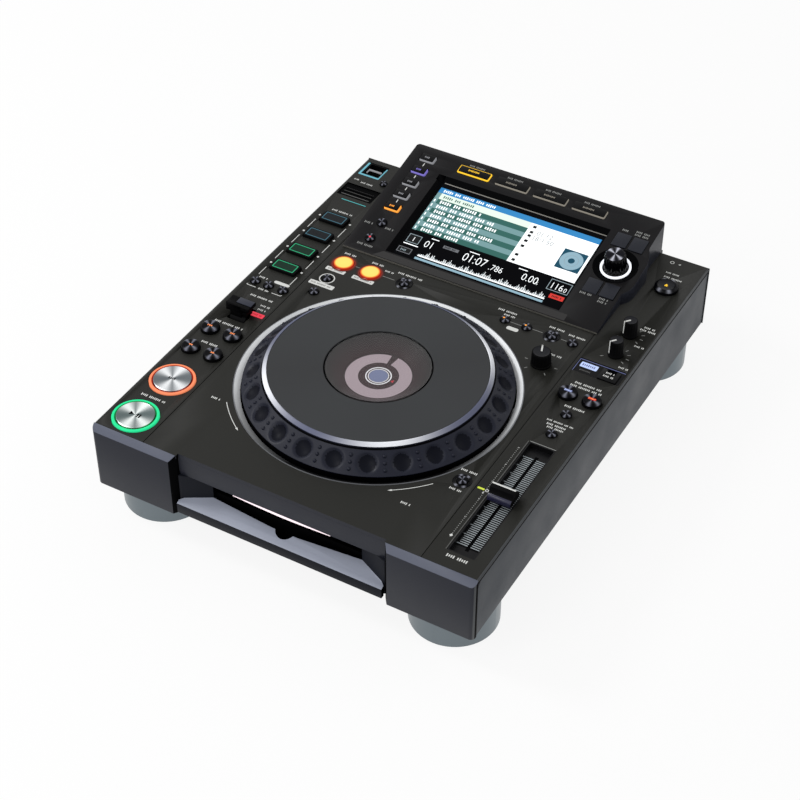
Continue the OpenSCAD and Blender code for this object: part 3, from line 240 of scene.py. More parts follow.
@once("Turning marks")
def turned_group(name):
    """Grooves round a centre by radius, and two fans of painted highlight across them."""
    tree, given, result = new_tree(
        "ShaderNodeTree", name,
        [("Place", "Vector", (0, 0, 0)), ("Groove pitch", "Float", 0.4),
         ("First fan", "Float", 1.6), ("Second fan", "Float", 2.7), ("Narrowness", "Float", 8.0)],
        [("Height", "Float"), ("Sheen", "Float")])
    split = add_node(tree, "ShaderNodeSeparateXYZ", {0: given["Place"]}).outputs
    x, y = split["X"], split["Y"]
    radius = math_node(tree, "SQRT", math_node(
        tree, "ADD", math_node(tree, "MULTIPLY", x, x), math_node(tree, "MULTIPLY", y, y)))
    turns = math_node(tree, "DIVIDE", radius, given["Groove pitch"])
    angle = math_node(tree, "ARCTAN2", y, x)
    fans = []
    for label in ("First fan", "Second fan"):
        lobe = math_node(tree, "COSINE", math_node(tree, "SUBTRACT", angle, given[label]))
        fans.append(math_node(
            tree, "POWER", math_node(tree, "ABSOLUTE", lobe), given["Narrowness"]))
    feed(tree, result, {
        "Height": math_node(tree, "SINE", math_node(tree, "MULTIPLY", turns, math.tau)),
        "Sheen": math_node(tree, "MAXIMUM", *fans)})
    return tree


# --------------------------------------------------------------- materials

GRAIN_DEPTH_M = 0.0002
GROOVE_DEPTH_M = 0.00005
# Colour of the painted shade on the darker side of a turned ring.
PAINTED_SHADE_TONE = (4, 4, 6)


def principled(name):
    made = bpy.data.materials.new(name)
    made.use_nodes = True
    return made, made.node_tree, made.node_tree.nodes["Principled BSDF"]


def chosen(tone):
    """Linear colour from the path of a setting or from values as they look on a display."""
    return bpy.context.scene.path_resolve(tone) if isinstance(tone, str) else colour(*tone)


def bump_normal(tree, strength, depth, height):
    return add_node(tree, "ShaderNodeBump", {
        "Strength": strength, "Distance": depth, "Height": height}).outputs["Normal"]


def add_grain(tree, shader, tone, roughness, scale, variation, smudge, bump):
    grain = add_node(tree, "ShaderNodeGroup", node_tree=grain_group())
    feed(tree, grain, {"Colour": tone, "Grain scale": scale, "Variation": variation,
                       "Roughness": roughness, "Smudge": smudge})
    feed(tree, shader, {"Base Color": grain.outputs["Colour"],
                        "Roughness": grain.outputs["Roughness"]})
    if bump:
        feed(tree, shader, {
            "Normal": bump_normal(tree, bump, GRAIN_DEPTH_M, grain.outputs["Height"])})


def plain_finish(name, tone, roughness, specular, scale, variation, bump, metallic=0.0,
                 smudge=0.1, coat=0.0):
    """A moulded, painted or metal finish."""
    made, tree, shader = principled(name)
    add_grain(tree, shader, chosen(tone), roughness, scale, variation, smudge, bump)
    feed(tree, shader, {"Metallic": metallic, "Coat Weight": coat, "Coat Roughness": 0.08,
                        "Specular IOR Level": specular})
    return made


def turned_finish(name, dark, bright, centre, roughness, pitch, narrow, bump, metallic=1.0,
                  specular=0.5, fans=(92, 156), painted_shade_side=None):
    """A turned finish round a centre; without one, round the middle of each key by its own map.

    fans are the angles of the two painted sheens in degrees. The last argument is the angle of a
    side darkened by painted shade, and the cosines from it between which that painted shade comes
    in.
    """
    made, tree, shader = principled(name)
    if centre is None:
        own = add_node(tree, "ShaderNodeUVMap").outputs["UV"]
        place = add_node(tree, "ShaderNodeMapping", {"Vector": own, "Scale": (100, 100, 0)})
    else:
        place = add_node(tree, "ShaderNodeMapping", {
            "Vector": object_place(tree), "Scale": (1000, 1000, 0),
            "Location": (-centre[0], -centre[1], 0)})
    spot = place.outputs["Vector"]
    marks = add_node(tree, "ShaderNodeGroup", node_tree=turned_group())
    feed(tree, marks, {"Place": spot, "Groove pitch": pitch, "First fan": math.radians(fans[0]),
                       "Second fan": math.radians(fans[1]), "Narrowness": narrow})
    # The painted sheen mixes the dark colour towards the bright one.
    tone = mixed_colour(tree, marks.outputs["Sheen"], colour(*dark), colour(*bright))
    # A side darkened by painted shade.
    if painted_shade_side:
        side = math.radians(painted_shade_side[0])
        lean = vector_node(tree, "NORMALIZE", spot)["Vector"]
        toward = vector_node(
            tree, "DOT_PRODUCT", lean, (math.cos(side), math.sin(side), 0))["Value"]
        share = add_node(tree, "ShaderNodeMapRange", {
            "From Min": painted_shade_side[1], "From Max": painted_shade_side[2], "Value": toward})
        tone = mixed_colour(tree, share.outputs["Result"], tone, colour(*PAINTED_SHADE_TONE))
    grain = add_node(tree, "ShaderNodeGroup", node_tree=grain_group())
    feed(tree, grain, {"Grain scale": 1800.0, "Roughness": roughness})
    feed(tree, shader, {
        "Metallic": metallic, "Specular IOR Level": specular, "Base Color": tone,
        "Roughness": grain.outputs["Roughness"],
        "Normal": bump_normal(tree, bump, GROOVE_DEPTH_M, marks.outputs["Height"])})
    return made


def glow(name, base, strength):
    """A lens with its unlit colour; it is lit by what feeds its emission colour."""
    made, tree, shader = principled(name)
    add_grain(tree, shader, base, 0.35, 1500.0, 0.06, 0.1, 0.03)
    feed(tree, shader, {"Emission Strength": strength, "Specular IOR Level": 0.1})
    return made, tree, shader


def lit_finish(name, tone, strength):
    """A lens lit evenly."""
    tone = chosen(tone)
    made, tree, shader = glow(name, tuple(v * 0.5 for v in tone), strength)
    feed(tree, shader, {"Emission Color": tone})
    return made


def shaded_finish(name, base, strength, centre, reach, stops):
    """A lens lit by stops, which are shares of reach and colours from the centre outwards."""
    made, tree, shader = glow(name, chosen(base), strength)
    spot = add_node(tree, "ShaderNodeMapping", {
        "Location": (-centre[0] * MM, -centre[1] * MM, 0), "Scale": (1, 1, 0),
        "Vector": object_place(tree)}).outputs["Vector"]
    far = vector_node(tree, "LENGTH", spot)["Value"]
    ramp = add_node(tree, "ShaderNodeValToRGB", {
        "Fac": math_node(tree, "DIVIDE", far, reach * MM)})
    band = ramp.color_ramp.elements
    while len(band) < len(stops):
        band.new(0.5)
    for item, (share, _) in zip(band, stops):
        item.position = share
    for item, (_, tone) in zip(band, stops):
        item.color = (*chosen(tone), 1)
    feed(tree, shader, {"Emission Color": ramp.outputs["Color"]})
    return made


def clear_finish(name, tone, alpha, roughness):
    """Smoked clear plastic."""
    made, tree, shader = principled(name)
    add_grain(tree, shader, colour(*tone), roughness, 900.0, 0.05, 0.1, 0)
    feed(tree, shader, {"Alpha": alpha, "Coat Weight": 0.3})
    return made


# Colour, roughness, specular level, grain scale, variation and bump, then metallic, smudge, coat.
PLAIN = {
    "panel paint": ("player_case.panel", 0.5, 0.18, 2200, 0.16, 0.12),
    # The front's colour; on the housing's right side it is painted light falling on that side.
    "front plastic": ("player_case.front", 0.42, 0.2, 2600, 0.07, 0.06),
    # A painted highlight on the front blocks' top chamfer.
    "front edge": ((86, 90, 104), 0.42, 0.25, 2600, 0.07, 0.06),
    "side paint": ("player_case.sides", 0.45, 0.22, 1400, 0.14, 0.12, 0.0, 0.2),
    "lip plastic": ("player_case.lip", 0.45, 0.25, 2600, 0.06, 0.05),
    # The lip's front face, painted darker as shade.
    "lip front": ((20, 22, 29), 0.45, 0.1, 2600, 0.07, 0.05),
    # A painted highlight on eased edges.
    "edge light": ((52, 55, 58), 0.4, 0.5, 2500, 0.06, 0.03, 0.2),
    # A painted highlight line on bevels of the housing.
    "bevel line": ((112, 110, 104), 0.4, 0.5, 2500, 0.06, 0.03, 0.3),
    "foot plastic": ("player_case.feet", 0.35, 0.5, 2500, 0.05, 0.05, 0.8),
    "chassis steel": ((40, 42, 44), 0.45, 0.3, 2500, 0.1, 0.1, 0.4),
    "zinc": ((170, 172, 174), 0.35, 0.5, 1200, 0.08, 0.1, 1.0),
    "socket metal": ((186, 186, 178), 0.3, 0.5, 2500, 0.06, 0.1, 1.0),
    "circuit board": ((22, 92, 52), 0.4, 0.5, 300, 0.2, 0.1, 0.0, 0.1, 0.3),
    "tan board": ((150, 116, 70), 0.5, 0.5, 300, 0.2, 0.1),
    "black plastic": ((11, 11, 13), 0.4, 0.14, 3000, 0.1, 0.08),
    "soft black": ((4, 4, 5), 0.6, 0.05, 3200, 0.12, 0.12),
    # Black; it also stands as painted shade in hollows, slits, gaps and hidden sides.
    "deep black": ((2, 2, 3), 0.6, 0.02, 2500, 0.1, 0.05),
    "gloss black": ((3, 3, 5), 0.16, 0.1, 2500, 0.04, 0.0),
    "screen black": ((2, 2, 5), 0.2, 0.03, 2500, 0.04, 0.0),
    "gloss housing": ((14, 13, 15), 0.36, 0.13, 2400, 0.08, 0.05),
    # A painted sheen on the housing's foot.
    "housing sheen": ((44, 43, 43), 0.36, 0.2, 2400, 0.1, 0.05),
    "knob top": ((15, 16, 21), 0.4, 0.14, 2000, 0.1, 0.05),
    # A painted sheen on the lever's cap.
    "lever slate": ((44, 47, 58), 0.4, 0.2, 2500, 0.08, 0.05),
    "browse slate": ((34, 36, 43), 0.4, 0.16, 2400, 0.08, 0.05),
    # A painted navy sheen on the fader cap's front.
    "cap navy": ((32, 32, 56), 0.3, 0.4, 2400, 0.06, 0.03),
    "dial plastic": ((17, 20, 34), 0.46, 0.2, 1500, 0.06, 0.04, 0.0, 0.2),
    # Rougher than the dial, and darker as painted shade in the dimples.
    "dimple plastic": ((8, 10, 20), 0.5, 0.08, 1500, 0.06, 0.04, 0.0, 0.2),
    "white print": ((214, 215, 212), 0.6, 0.5, 4000, 0.14, 0.03),
    "tick print": ((160, 168, 172), 0.6, 0.5, 4000, 0.14, 0.03),
    # Grey print; also painted highlight lines on the fader recess's rear edge.
    "grey print": ((132, 133, 131), 0.6, 0.5, 4000, 0.14, 0.03),
    "plate print": ((112, 112, 110), 0.6, 0.5, 4000, 0.14, 0.03),
    # Dim print; also painted highlight lines on the fader recess and a card-door ridge.
    "dim print": ((74, 74, 73), 0.6, 0.5, 4000, 0.14, 0.03),
    # A painted highlight on a card-door ridge.
    "dark print": ((30, 30, 28), 0.6, 0.5, 4000, 0.14, 0.03),
}

# Dark colour and the bright colour of the painted sheens, centre, roughness, groove pitch,
# narrowness of the painted sheens and bump, then metallic, specular level, the painted sheens'
# angles and the side darkened by painted shade.
TURNED = {
    # Keys' tops: black or navy with grooves, and painted sheens and glints across them.
    "spun black": ((2, 2, 5), (116, 118, 130), None, 0.3, 0.5, 46.0, 0.1, 0.0, 0.05),
    "spun rim": ((2, 2, 5), (130, 132, 142), None, 0.3, 0.5, 60.0, 0.1, 0.0, 0.08, (250, 306)),
    "spun navy": ((4, 4, 14), (196, 198, 210), None, 0.24, 0.5, 46.0, 0.1, 0.0, 0.1),
    # The metals and the platter carry painted sheens; the rim's two also have a side darkened by
    # painted shade.
    "rim metal": ((206, 209, 212), (240, 242, 244), JOG, 0.5, 0.9, 3.0, 0.2, 0.2, 0.25,
                  (26, 116), (295, 0.1, 0.85)),
    "rim edge": ((120, 122, 126), (120, 122, 126), JOG, 0.5, 0.9, 3.0, 0.1, 0.2, 0.2,
                 (26, 116), (285, 0.2, 1.7)),
    "trim metal": ((92, 96, 118), (244, 246, 252), JOG, 0.45, 0.9, 16.0, 0.05, 0.05, 0.12,
                   (222, 306)),
    "platter coat": ((41, 42, 44), (46, 48, 50), JOG, 0.5, 0.8, 2.0, 0.1, 0.0, 0.22),
    "cue metal": ((104, 110, 114), (238, 240, 242), CUE, 0.36, 0.6, 11.0, 0.2),
    "play metal": ((96, 108, 108), (236, 242, 240), PLAY, 0.36, 0.6, 11.0, 0.2),
}

# Colour and strength.
LIT = {
    "cue light": ("player_lamps.cue", 0.64), "cue shade": ((160, 40, 18), 0.6),
    "play light": ("player_lamps.play", 0.64), "play shade": ((6, 140, 70), 0.6),
    "port light": ("player_lamps.ports", 0.72), "port line": ((80, 170, 172), 0.7),
    "white light": ((240, 243, 250), 0.95), "slot light": ((244, 226, 232), 0.95),
    "soft white light": ((138, 139, 143), 0.7), "beige light": ((136, 131, 121), 0.64),
    "yellow light": ((250, 200, 52), 0.85), "amber light": ((255, 164, 66), 0.85),
    "orange light": ((244, 142, 84), 0.85), "violet light": ((120, 110, 190), 0.75),
    "red light": ((236, 66, 84), 0.7), "dark red light": ((170, 24, 34), 0.8),
    "blue light": ((96, 102, 140), 0.7), "ice light": ((176, 192, 232), 0.85),
    "green light": ((44, 156, 110), 0.74), "dark green light": ((4, 40, 26), 0.5),
    "teal light": ((62, 100, 114), 0.68), "dark teal light": ((13, 18, 23), 0.5),
    "lime light": ((190, 205, 70), 0.8), "wheel picture ring": ((208, 190, 198), 0.86),
    "wheel picture disc": ((150, 160, 200), 0.8), "wheel picture line": ((250, 251, 255), 1.3),
    "screen blue": ((48, 122, 176), 0.9), "screen pale": ((206, 220, 208), 0.95),
    "screen teal": ((106, 140, 142), 0.9), "screen green": ((46, 90, 84), 0.9),
    "screen white": ((242, 246, 247), 1.0), "screen ink": ((20, 22, 24), 0.3),
    "screen grey": ((96, 98, 102), 0.9), "screen light blue": ((130, 160, 174), 0.9),
    "screen deep blue": ((22, 68, 88), 0.8), "screen mist": ((128, 142, 148), 0.9),
    "screen red": ((190, 52, 46), 0.9),
}

LOOP_STOPS = (
    (0.0, "player_lamps.loop"), (0.76, (255, 232, 116)), (0.86, (255, 158, 60)),
    (0.95, (226, 70, 28)), (1.0, (160, 34, 14)))
HALO_STOPS = (
    (0.0, (150, 32, 14)), (0.7, (150, 32, 14)), (0.84, (56, 9, 6)), (1.0, (0, 0, 0)))

# Unlit colour, strength, centre, reach, and stops of share and colour.
SHADED = {
    "loop in light": ((0, 0, 0), 1.0, LOOP_IN, 8.4, LOOP_STOPS),
    "loop out light": ((0, 0, 0), 1.0, LOOP_OUT, 8.4, LOOP_STOPS),
    "loop in halo": ("player_case.panel", 1.0, LOOP_IN, 12.4, HALO_STOPS),
    "loop out halo": ("player_case.panel", 1.0, LOOP_OUT, 12.4, HALO_STOPS),
    "wheel picture back": ((14, 12, 13), 0.8, JOG, 38, (
        (0.0, (96, 72, 78)), (0.55, (84, 68, 70)), (1.0, (68, 65, 62)))),
    "window mask": ((46, 44, 45), 0.5, JOG, 40, (
        (0.0, (88, 62, 66)), (0.66, (88, 62, 66)), (1.0, (66, 66, 64)))),
}

# Colour, alpha and roughness.
CLEAR = {"window": ((30, 30, 32), 0.3, 0.3)}

MAKERS = ((PLAIN, plain_finish), (TURNED, turned_finish), (LIT, lit_finish),
          (SHADED, shaded_finish), (CLEAR, clear_finish))
FINISHES = {}


def ink(name):
    """The finish of that name, made when it is first asked for."""
    if name not in FINISHES:
        values, make = next((table[name], make) for table, make in MAKERS if name in table)
        FINISHES[name] = make(name, *values)
    return FINISHES[name]


# ------------------------------------------------------------------ shapes


def on_plate(x=0.0, y=0.0, h=0.0):
    return Matrix.Translation((x, y, PLATE + h))


def on_console(x=0.0, v=0.0, h=0.0):
    """A place on the tilted display housing: x, distance up the slope, height off it."""
    return (Matrix.Translation((0, CONSOLE_Y, PLATE + CONSOLE_RISE))
            @ Matrix.Rotation(TILT, 4, "X") @ Matrix.Translation((x, v, h)))


def facing_rear(x, z):
    return Matrix.Translation((x, REAR_FACE_Y, z)) @ Matrix.Rotation(-math.pi / 2, 4, "X")


def on_circle(radius, angle):
    return radius * math.cos(angle), radius * math.sin(angle)


def rounded_outline(width, depth, radius, steps=5, x=0.0, y=0.0):
    points = []
    for cx, cy, start in ((1, 1, 0), (-1, 1, 90), (-1, -1, 180), (1, -1, 270)):
        for i in range(steps + 1):
            a = math.radians(start + 90 * i / steps)
            points.append((x + cx * (width / 2 - radius) + radius * math.cos(a),
                           y + cy * (depth / 2 - radius) + radius * math.sin(a)))
    return points


def ring_faces(rings, steps):
    """The faces between closed rings of steps corners, which follow one another."""
    return [[k * steps + i, k * steps + (i + 1) % steps,
             (k + 1) * steps + (i + 1) % steps, (k + 1) * steps + i]
            for k in range(rings - 1) for i in range(steps)]


class Sketch:
    """Shapes in millimetres, gathered into one piece with a finish for each."""

    def __init__(self, place=None):
        self.corners, self.faces, self.inks, self.flat = [], [], [], []
        self.palette = []
        self.place = place or Matrix.Identity(4)

    def tone(self, name):
        if name not in self.palette:
            self.palette.append(name)
        return self.palette.index(name)

    def add(self, corners, faces, name, x=0.0, y=0.0):
        """Adds faces round x, y; name is one finish or a list with one for each face."""
        first = len(self.corners)
        self.corners += [self.place @ Vector(c) for c in corners]
        self.flat += [((c[0] - x) / 100, (c[1] - y) / 100) for c in corners]
        self.faces += [[first + i for i in face] for face in faces]
        names = [name] * len(faces) if isinstance(name, str) else name
        self.inks += [self.tone(item) for item in names]

    def prism(self, outline, low, high, name, top=None):
        n = len(outline)
        corners = [(x, y, low) for x, y in outline] + [(x, y, high) for x, y in top or outline]
        ends = [list(range(n))[::-1], list(range(n, 2 * n))]
        self.add(corners, ends + ring_faces(2, n), name)

    def slab(self, x0, x1, y0, y1, low, high, name):
        self.prism([(x0, y0), (x1, y0), (x1, y1), (x0, y1)], low, high, name)

    def plate(self, width, depth, radius, low, high, name, x=0.0, y=0.0, steps=3):
        """A flat plate with round corners."""
        self.prism(rounded_outline(width, depth, radius, steps, x, y), low, high, name)

    def block(self, width, depth, radius, low, high, name, x=0.0, y=0.0, crown=0.0):
        """A rounded block whose upper edge is eased by crown."""
        steps = 4
        n = (steps + 1) * 4
        rows = [(0, low), (0, high - crown), (crown * 0.3, high - crown * 0.3), (crown, high)]
        corners = []
        for inset, z in rows:
            r = max(radius - inset, 0.05)
            outline = rounded_outline(width - 2 * inset, depth - 2 * inset, r, steps, x, y)
            corners += [(px, py, z) for px, py in outline]
        ends = [list(range(n))[::-1], list(range(3 * n, 4 * n))]
        self.add(corners, ring_faces(len(rows), n) + ends, name)

    def frame(self, width, depth, band, low, high, name, radius=1.0):
        """A flat rectangular frame."""
        outer = rounded_outline(width, depth, radius, 3)
        inner = rounded_outline(
            width - 2 * band, depth - 2 * band, max(radius - band, 0.1), 3)
        n = len(outer)
        corners = [(x, y, z) for z in (low, high) for ring in (outer, inner) for x, y in ring]
        faces = []
        for i in range(n):
            j = (i + 1) % n
            faces += [[i, j, 2 * n + j, 2 * n + i], [n + j, n + i, 3 * n + i, 3 * n + j],
                      [2 * n + i, 2 * n + j, 3 * n + j, 3 * n + i], [j, i, n + i, n + j]]
        self.add(corners, faces, name)

    def turned(self, profile, name, steps=64, x=0.0, y=0.0, closed=False):
        """Radii and heights turned round the upright; name may list one finish per row."""
        corners, rings = [], []
        for r, z in profile:
            count = steps if r else 1
            rings.append(list(range(len(corners), len(corners) + count)))
            for i in range(count):
                px, py = on_circle(r, math.tau * i / steps)
                corners.append((x + px, y + py, z))
        faces, names = [], []
        for k, (a, b) in enumerate(zip(rings, rings[1:] + (rings[:1] if closed else []))):
            for i in range(steps):
                j = (i + 1) % steps
                if len(a) == 1:
                    faces.append([a[0], b[j], b[i]])
                elif len(b) == 1:
                    faces.append([a[i], a[j], b[0]])
                else:
                    faces.append([a[i], a[j], b[j], b[i]])
                names.append(name if isinstance(name, str) else name[k])
        self.add(corners, faces, names, x, y)

    def washer(self, inner, outer, low, high, name, steps, x=0.0, y=0.0):
        """A flat ring, or a disc where inner is nothing."""
        self.turned([(inner, low), (outer, low), (outer, high), (inner, high)], name, steps,
                    x, y, closed=inner > 0)

    def fluted(self, rows, flutes, depth, wave, steps, name):
        """Rings of height, radius and share of the flutes; wave gives a flute's section."""
        corners = []
        for z, r, cut in rows:
            for i in range(steps):
                a = math.tau * i / steps
                corners.append((*on_circle(r - depth * cut * wave(math.cos(flutes * a)), a), z))
        self.add(corners, ring_faces(len(rows), steps) + [list(range(steps))[::-1]], name)

    def arc(self, radius, band, start, end, low, high, name, x=0.0, y=0.0, steps=24):
        """Part of a flat ring between two angles in degrees."""
        inner, outer = radius - band / 2, radius + band / 2
        corners = []
        for i in range(steps + 1):
            a = math.radians(start + (end - start) * i / steps)
            for r, z in ((inner, low), (outer, low), (outer, high), (inner, high)):
                px, py = on_circle(r, a)
                corners.append((x + px, y + py, z))
        ends = [[3, 2, 1, 0], [4 * steps + k for k in range(4)]]
        self.add(corners, ring_faces(steps + 1, 4) + ends, name)

    def drawn(self, outline, x0, x1, sheen=()):
        """A profile in y and z drawn along x; the sides numbered in sheen carry a painted navy
        sheen.
        """
        n = len(outline)
        corners = [(x0, y, z) for y, z in outline] + [(x1, y, z) for y, z in outline]
        sides = ring_faces(2, n)
        plain = [side for i, side in enumerate(sides) if i not in sheen]
        self.add(corners, [list(range(n))[::-1], list(range(n, 2 * n))] + plain, "soft black")
        if sheen:
            self.add(corners, [sides[i] for i in sheen], "cap navy")

    def words(self, x, y, width, height, low, high, name, gaps=(4, 7, 3, 6, 5)):
        """A line of short strokes where a caption stands."""
        pitch = height * 0.6
        count = max(int(width / pitch), 1)
        start = x - count * pitch / 2
        word, left = 0, gaps[0]
        for i in range(count):
            if left == 0:
                word += 1
                left = gaps[word % len(gaps)]
                continue
            left -= 1
            tall = height * (1.0, 0.7, 0.86)[i * 7 % 3]
            self.slab(start + i * pitch, start + i * pitch + pitch * 0.56,
                      y - tall / 2, y + tall / 2, low, high, name)

    def numerals(self, text, x, y, size, low, name, squeeze):
        """Numbers and signs from the built-in font; x, y is the left end of the foot line."""
        data = bpy.data.curves.new("numerals", "FONT")
        data.body = text
        data.size = size
        data.resolution_u = 3
        data.extrude = 0.02
        data.offset = -0.012 * size
        holder = bpy.data.objects.new("numerals", data)
        bpy.context.scene.collection.objects.link(holder)
        graph = bpy.context.evaluated_depsgraph_get()
        mesh = bpy.data.meshes.new_from_object(holder.evaluated_get(graph))
        corners = [(x + v.co.x * squeeze, y + v.co.y, low + v.co.z) for v in mesh.vertices]
        self.add(corners, [list(p.vertices) for p in mesh.polygons], name)
        bpy.data.objects.remove(holder)
        bpy.data.curves.remove(data)
        bpy.data.meshes.remove(mesh)

    def make(self, name, body, slot=None, replaces=(), bevel=0.0, smooth=32.0):
        mesh = bpy.data.meshes.new(name)
        mesh.from_pydata([tuple(c * MM) for c in self.corners], [], self.faces)
        for tone in self.palette:
            mesh.materials.append(ink(tone))
        mesh.polygons.foreach_set("material_index", self.inks)
        layer = mesh.uv_layers.new(name="Turned round")
        layer.data.foreach_set(
            "uv", [v for loop in mesh.loops for v in self.flat[loop.vertex_index]])
        return settle(mesh, name, body, replaces, bevel, smooth)

    def make_for(self, node, name, slot, bevel=0.0):
        """Makes the piece that stands for a key or knob, which rides on a body of its own."""
        return self.make(name, node + "_body", slot, (node,), bevel)


def settle(mesh, name, body, replaces=(), bevel=0.0, smooth=32.0):
    """Closes, turns outwards, eases and shades a mesh, and lets it ride on its body."""
    work = bmesh.new()
    work.from_mesh(mesh)
    bmesh.ops.remove_doubles(work, verts=work.verts, dist=1e-7)
    bmesh.ops.recalc_face_normals(work, faces=work.faces)
    work.to_mesh(mesh)
    work.free()
    piece = bpy.data.objects.new(name, mesh)
    bpy.context.scene.collection.objects.link(piece)
    if bevel:
        ease = piece.modifiers.new("Eased edges", "BEVEL")
        ease.width = bevel * MM
        ease.segments = 2
        ease.limit_method = "ANGLE"
        ease.angle_limit = math.radians(30)
        ease.use_clamp_overlap = True
        bake(piece)
    piece.data.shade_smooth()
    piece.data.set_sharp_from_angle(angle=math.radians(smooth))
    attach(piece, body)
    if replaces:
        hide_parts(*replaces)
    return piece


def bake(piece):
    """Turns a piece with live modifiers into a plain mesh."""
    graph = bpy.context.evaluated_depsgraph_get()
    done = bpy.data.meshes.new_from_object(
        piece.evaluated_get(graph), preserve_all_data_layers=True, depsgraph=graph)
    piece.modifiers.clear()
    old = piece.data
    piece.data = done
    done.name = piece.name
    bpy.data.meshes.remove(old)


def paint_node(node, name):
    """Gives a node of the frame its finish."""
    mesh = NODES[node].data
    mesh.materials.clear()
    mesh.materials.append(ink(name))


def eased_copy(node, name, finish_name, bevel, zones):
    """A copy of a node with eased edges, which stands for it.

    Each zone is a finish and a test of a face's normal and middle that picks its faces.
    """
    mesh = NODES[node].data.copy()
    mesh.materials.clear()
    for tone in (finish_name, *(tone for tone, _ in zones)):
        mesh.materials.append(ink(tone))
    work = bmesh.new()
    work.from_mesh(mesh)
    bmesh.ops.remove_doubles(work, verts=work.verts, dist=2e-6)
    if bevel:
        bmesh.ops.dissolve_limit(
            work, angle_limit=math.radians(0.5), verts=work.verts, edges=work.edges,
            use_dissolve_boundaries=False)
    work.normal_update()
    for face in work.faces:
        spot = face.calc_center_median() / MM
        face.material_index = next(
            (k for k, (_, test) in enumerate(zones, 1) if test(face.normal, spot)), 0)
    work.to_mesh(mesh)
    work.free()
    return settle(mesh, name, BODY, (node,), bevel)


# ---------------------------------------------------------- geometry nodes


def growth_tree(name, inputs):
    return new_tree("GeometryNodeTree", name, [*inputs, ("Finish", "Material", None)],
                    [("Geometry", "Geometry")])


def place_on(tree, points, shape, given, result, scale=None):
    """Puts the shape on each point and gives the real result its finish."""
    spread = add_node(tree, "GeometryNodeInstanceOnPoints", {
        "Points": points, "Instance": shape, **({"Scale": scale} if scale else {})})
    real = add_node(tree, "GeometryNodeRealizeInstances", {
        "Geometry": spread.outputs["Instances"]})
    finished = add_node(tree, "GeometryNodeSetMaterial", {
        "Geometry": real.outputs["Geometry"], "Material": given["Finish"]})
    feed(tree, result, {"Geometry": finished.outputs["Geometry"]})


def grown(name, tree, values, place, finish_name, body):
    """Runs a tree of geometry nodes once and keeps its result as a plain piece."""
    holder = bpy.data.objects.new(name, bpy.data.meshes.new(name))
    bpy.context.scene.collection.objects.link(holder)
    growth = holder.modifiers.new("Growth", "NODES")
    growth.node_group = tree
    sockets = {item.name: item.identifier for item in tree.interface.items_tree
               if item.in_out == "INPUT"}
    for label, value in {**values, "Finish": ink(finish_name)}.items():
        growth[sockets[label]] = value
    bake(holder)
    holder.data.transform(place)
    holder.data.transform(Matrix.Scale(MM, 4))
    mesh = holder.data.copy()
    bpy.data.objects.remove(holder)
    mesh.materials.clear()
    mesh.materials.append(ink(finish_name))
    mesh.polygons.foreach_set("material_index", [0] * len(mesh.polygons))
    return settle(mesh, name, body)


@once("Tick ladder")
def ladder_tree(name):
    """A row of ticks that begin on one line, and some of them longer."""
    tree, given, result = growth_tree(name, [
        ("Count", "Int", 101), ("Step", "Vector", (0, 1, 0)), ("Tick", "Vector", (4, 0.3, 0.06)),
        ("Long tick", "Float", 1.7), ("Every", "Int", 10)])
    line = add_node(tree, "GeometryNodeMeshLine", {
        "Count": given["Count"], "Offset": given["Step"]}, mode="OFFSET")
    cube = add_node(tree, "GeometryNodeMeshCube", {"Size": given["Tick"]})
    index = add_node(tree, "GeometryNodeInputIndex").outputs[0]
    turn = math_node(tree, "MODULO", index, given["Every"])
    is_long = math_node(tree, "LESS_THAN", turn, 0.5)
    extra = math_node(tree, "SUBTRACT", given["Long tick"], 1.0)
    stretch = math_node(tree, "MULTIPLY_ADD", is_long, extra, 1.0)
    scale = add_node(tree, "ShaderNodeCombineXYZ", {"X": stretch, "Y": 1, "Z": 1})
    half = vector_node(tree, "MULTIPLY", given["Tick"], (0.5, 0, 0))[0]
    begun = add_node(tree, "GeometryNodeTransform", {
        "Geometry": cube.outputs["Mesh"], "Translation": half})
    place_on(tree, line.outputs["Mesh"], begun.outputs["Geometry"], given, result,
             scale.outputs[0])
    return tree


@once("Stud ring")
def ring_tree(name):
    """Round studs in a ring."""
    tree, given, result = growth_tree(name, [
        ("Count", "Int", 24), ("Radius", "Float", 95.0), ("Stud", "Float", 0.9),
        ("Phase", "Float", 0.0)])
    ring = add_node(tree, "GeometryNodeMeshCircle", {
        "Vertices": given["Count"], "Radius": given["Radius"]})
    turn = add_node(tree, "ShaderNodeCombineXYZ", {"Z": given["Phase"]})
    turned = add_node(tree, "GeometryNodeTransform", {
        "Geometry": ring.outputs["Mesh"], "Rotation": turn.outputs[0]})
    ball = add_node(tree, "GeometryNodeMeshUVSphere", {
        "Segments": 12, "Rings": 6, "Radius": given["Stud"]})
    place_on(tree, turned.outputs["Geometry"], ball.outputs["Mesh"], given, result)
    return tree


@once("Stud row")
def row_tree(name):
    """Flat studs in a straight row."""
    tree, given, result = growth_tree(name, [
        ("Count", "Int", 11), ("Step", "Vector", (0, -10, 0)), ("Stud", "Float", 0.5)])
    line = add_node(tree, "GeometryNodeMeshLine", {
        "Count": given["Count"], "Offset": given["Step"]}, mode="OFFSET")
    dot = add_node(tree, "GeometryNodeMeshCylinder", {
        "Vertices": 12, "Depth": 0.1, "Radius": given["Stud"]})
    place_on(tree, line.outputs["Mesh"], dot.outputs["Mesh"], given, result)
    return tree


# --------------------------------------------------------------- key parts


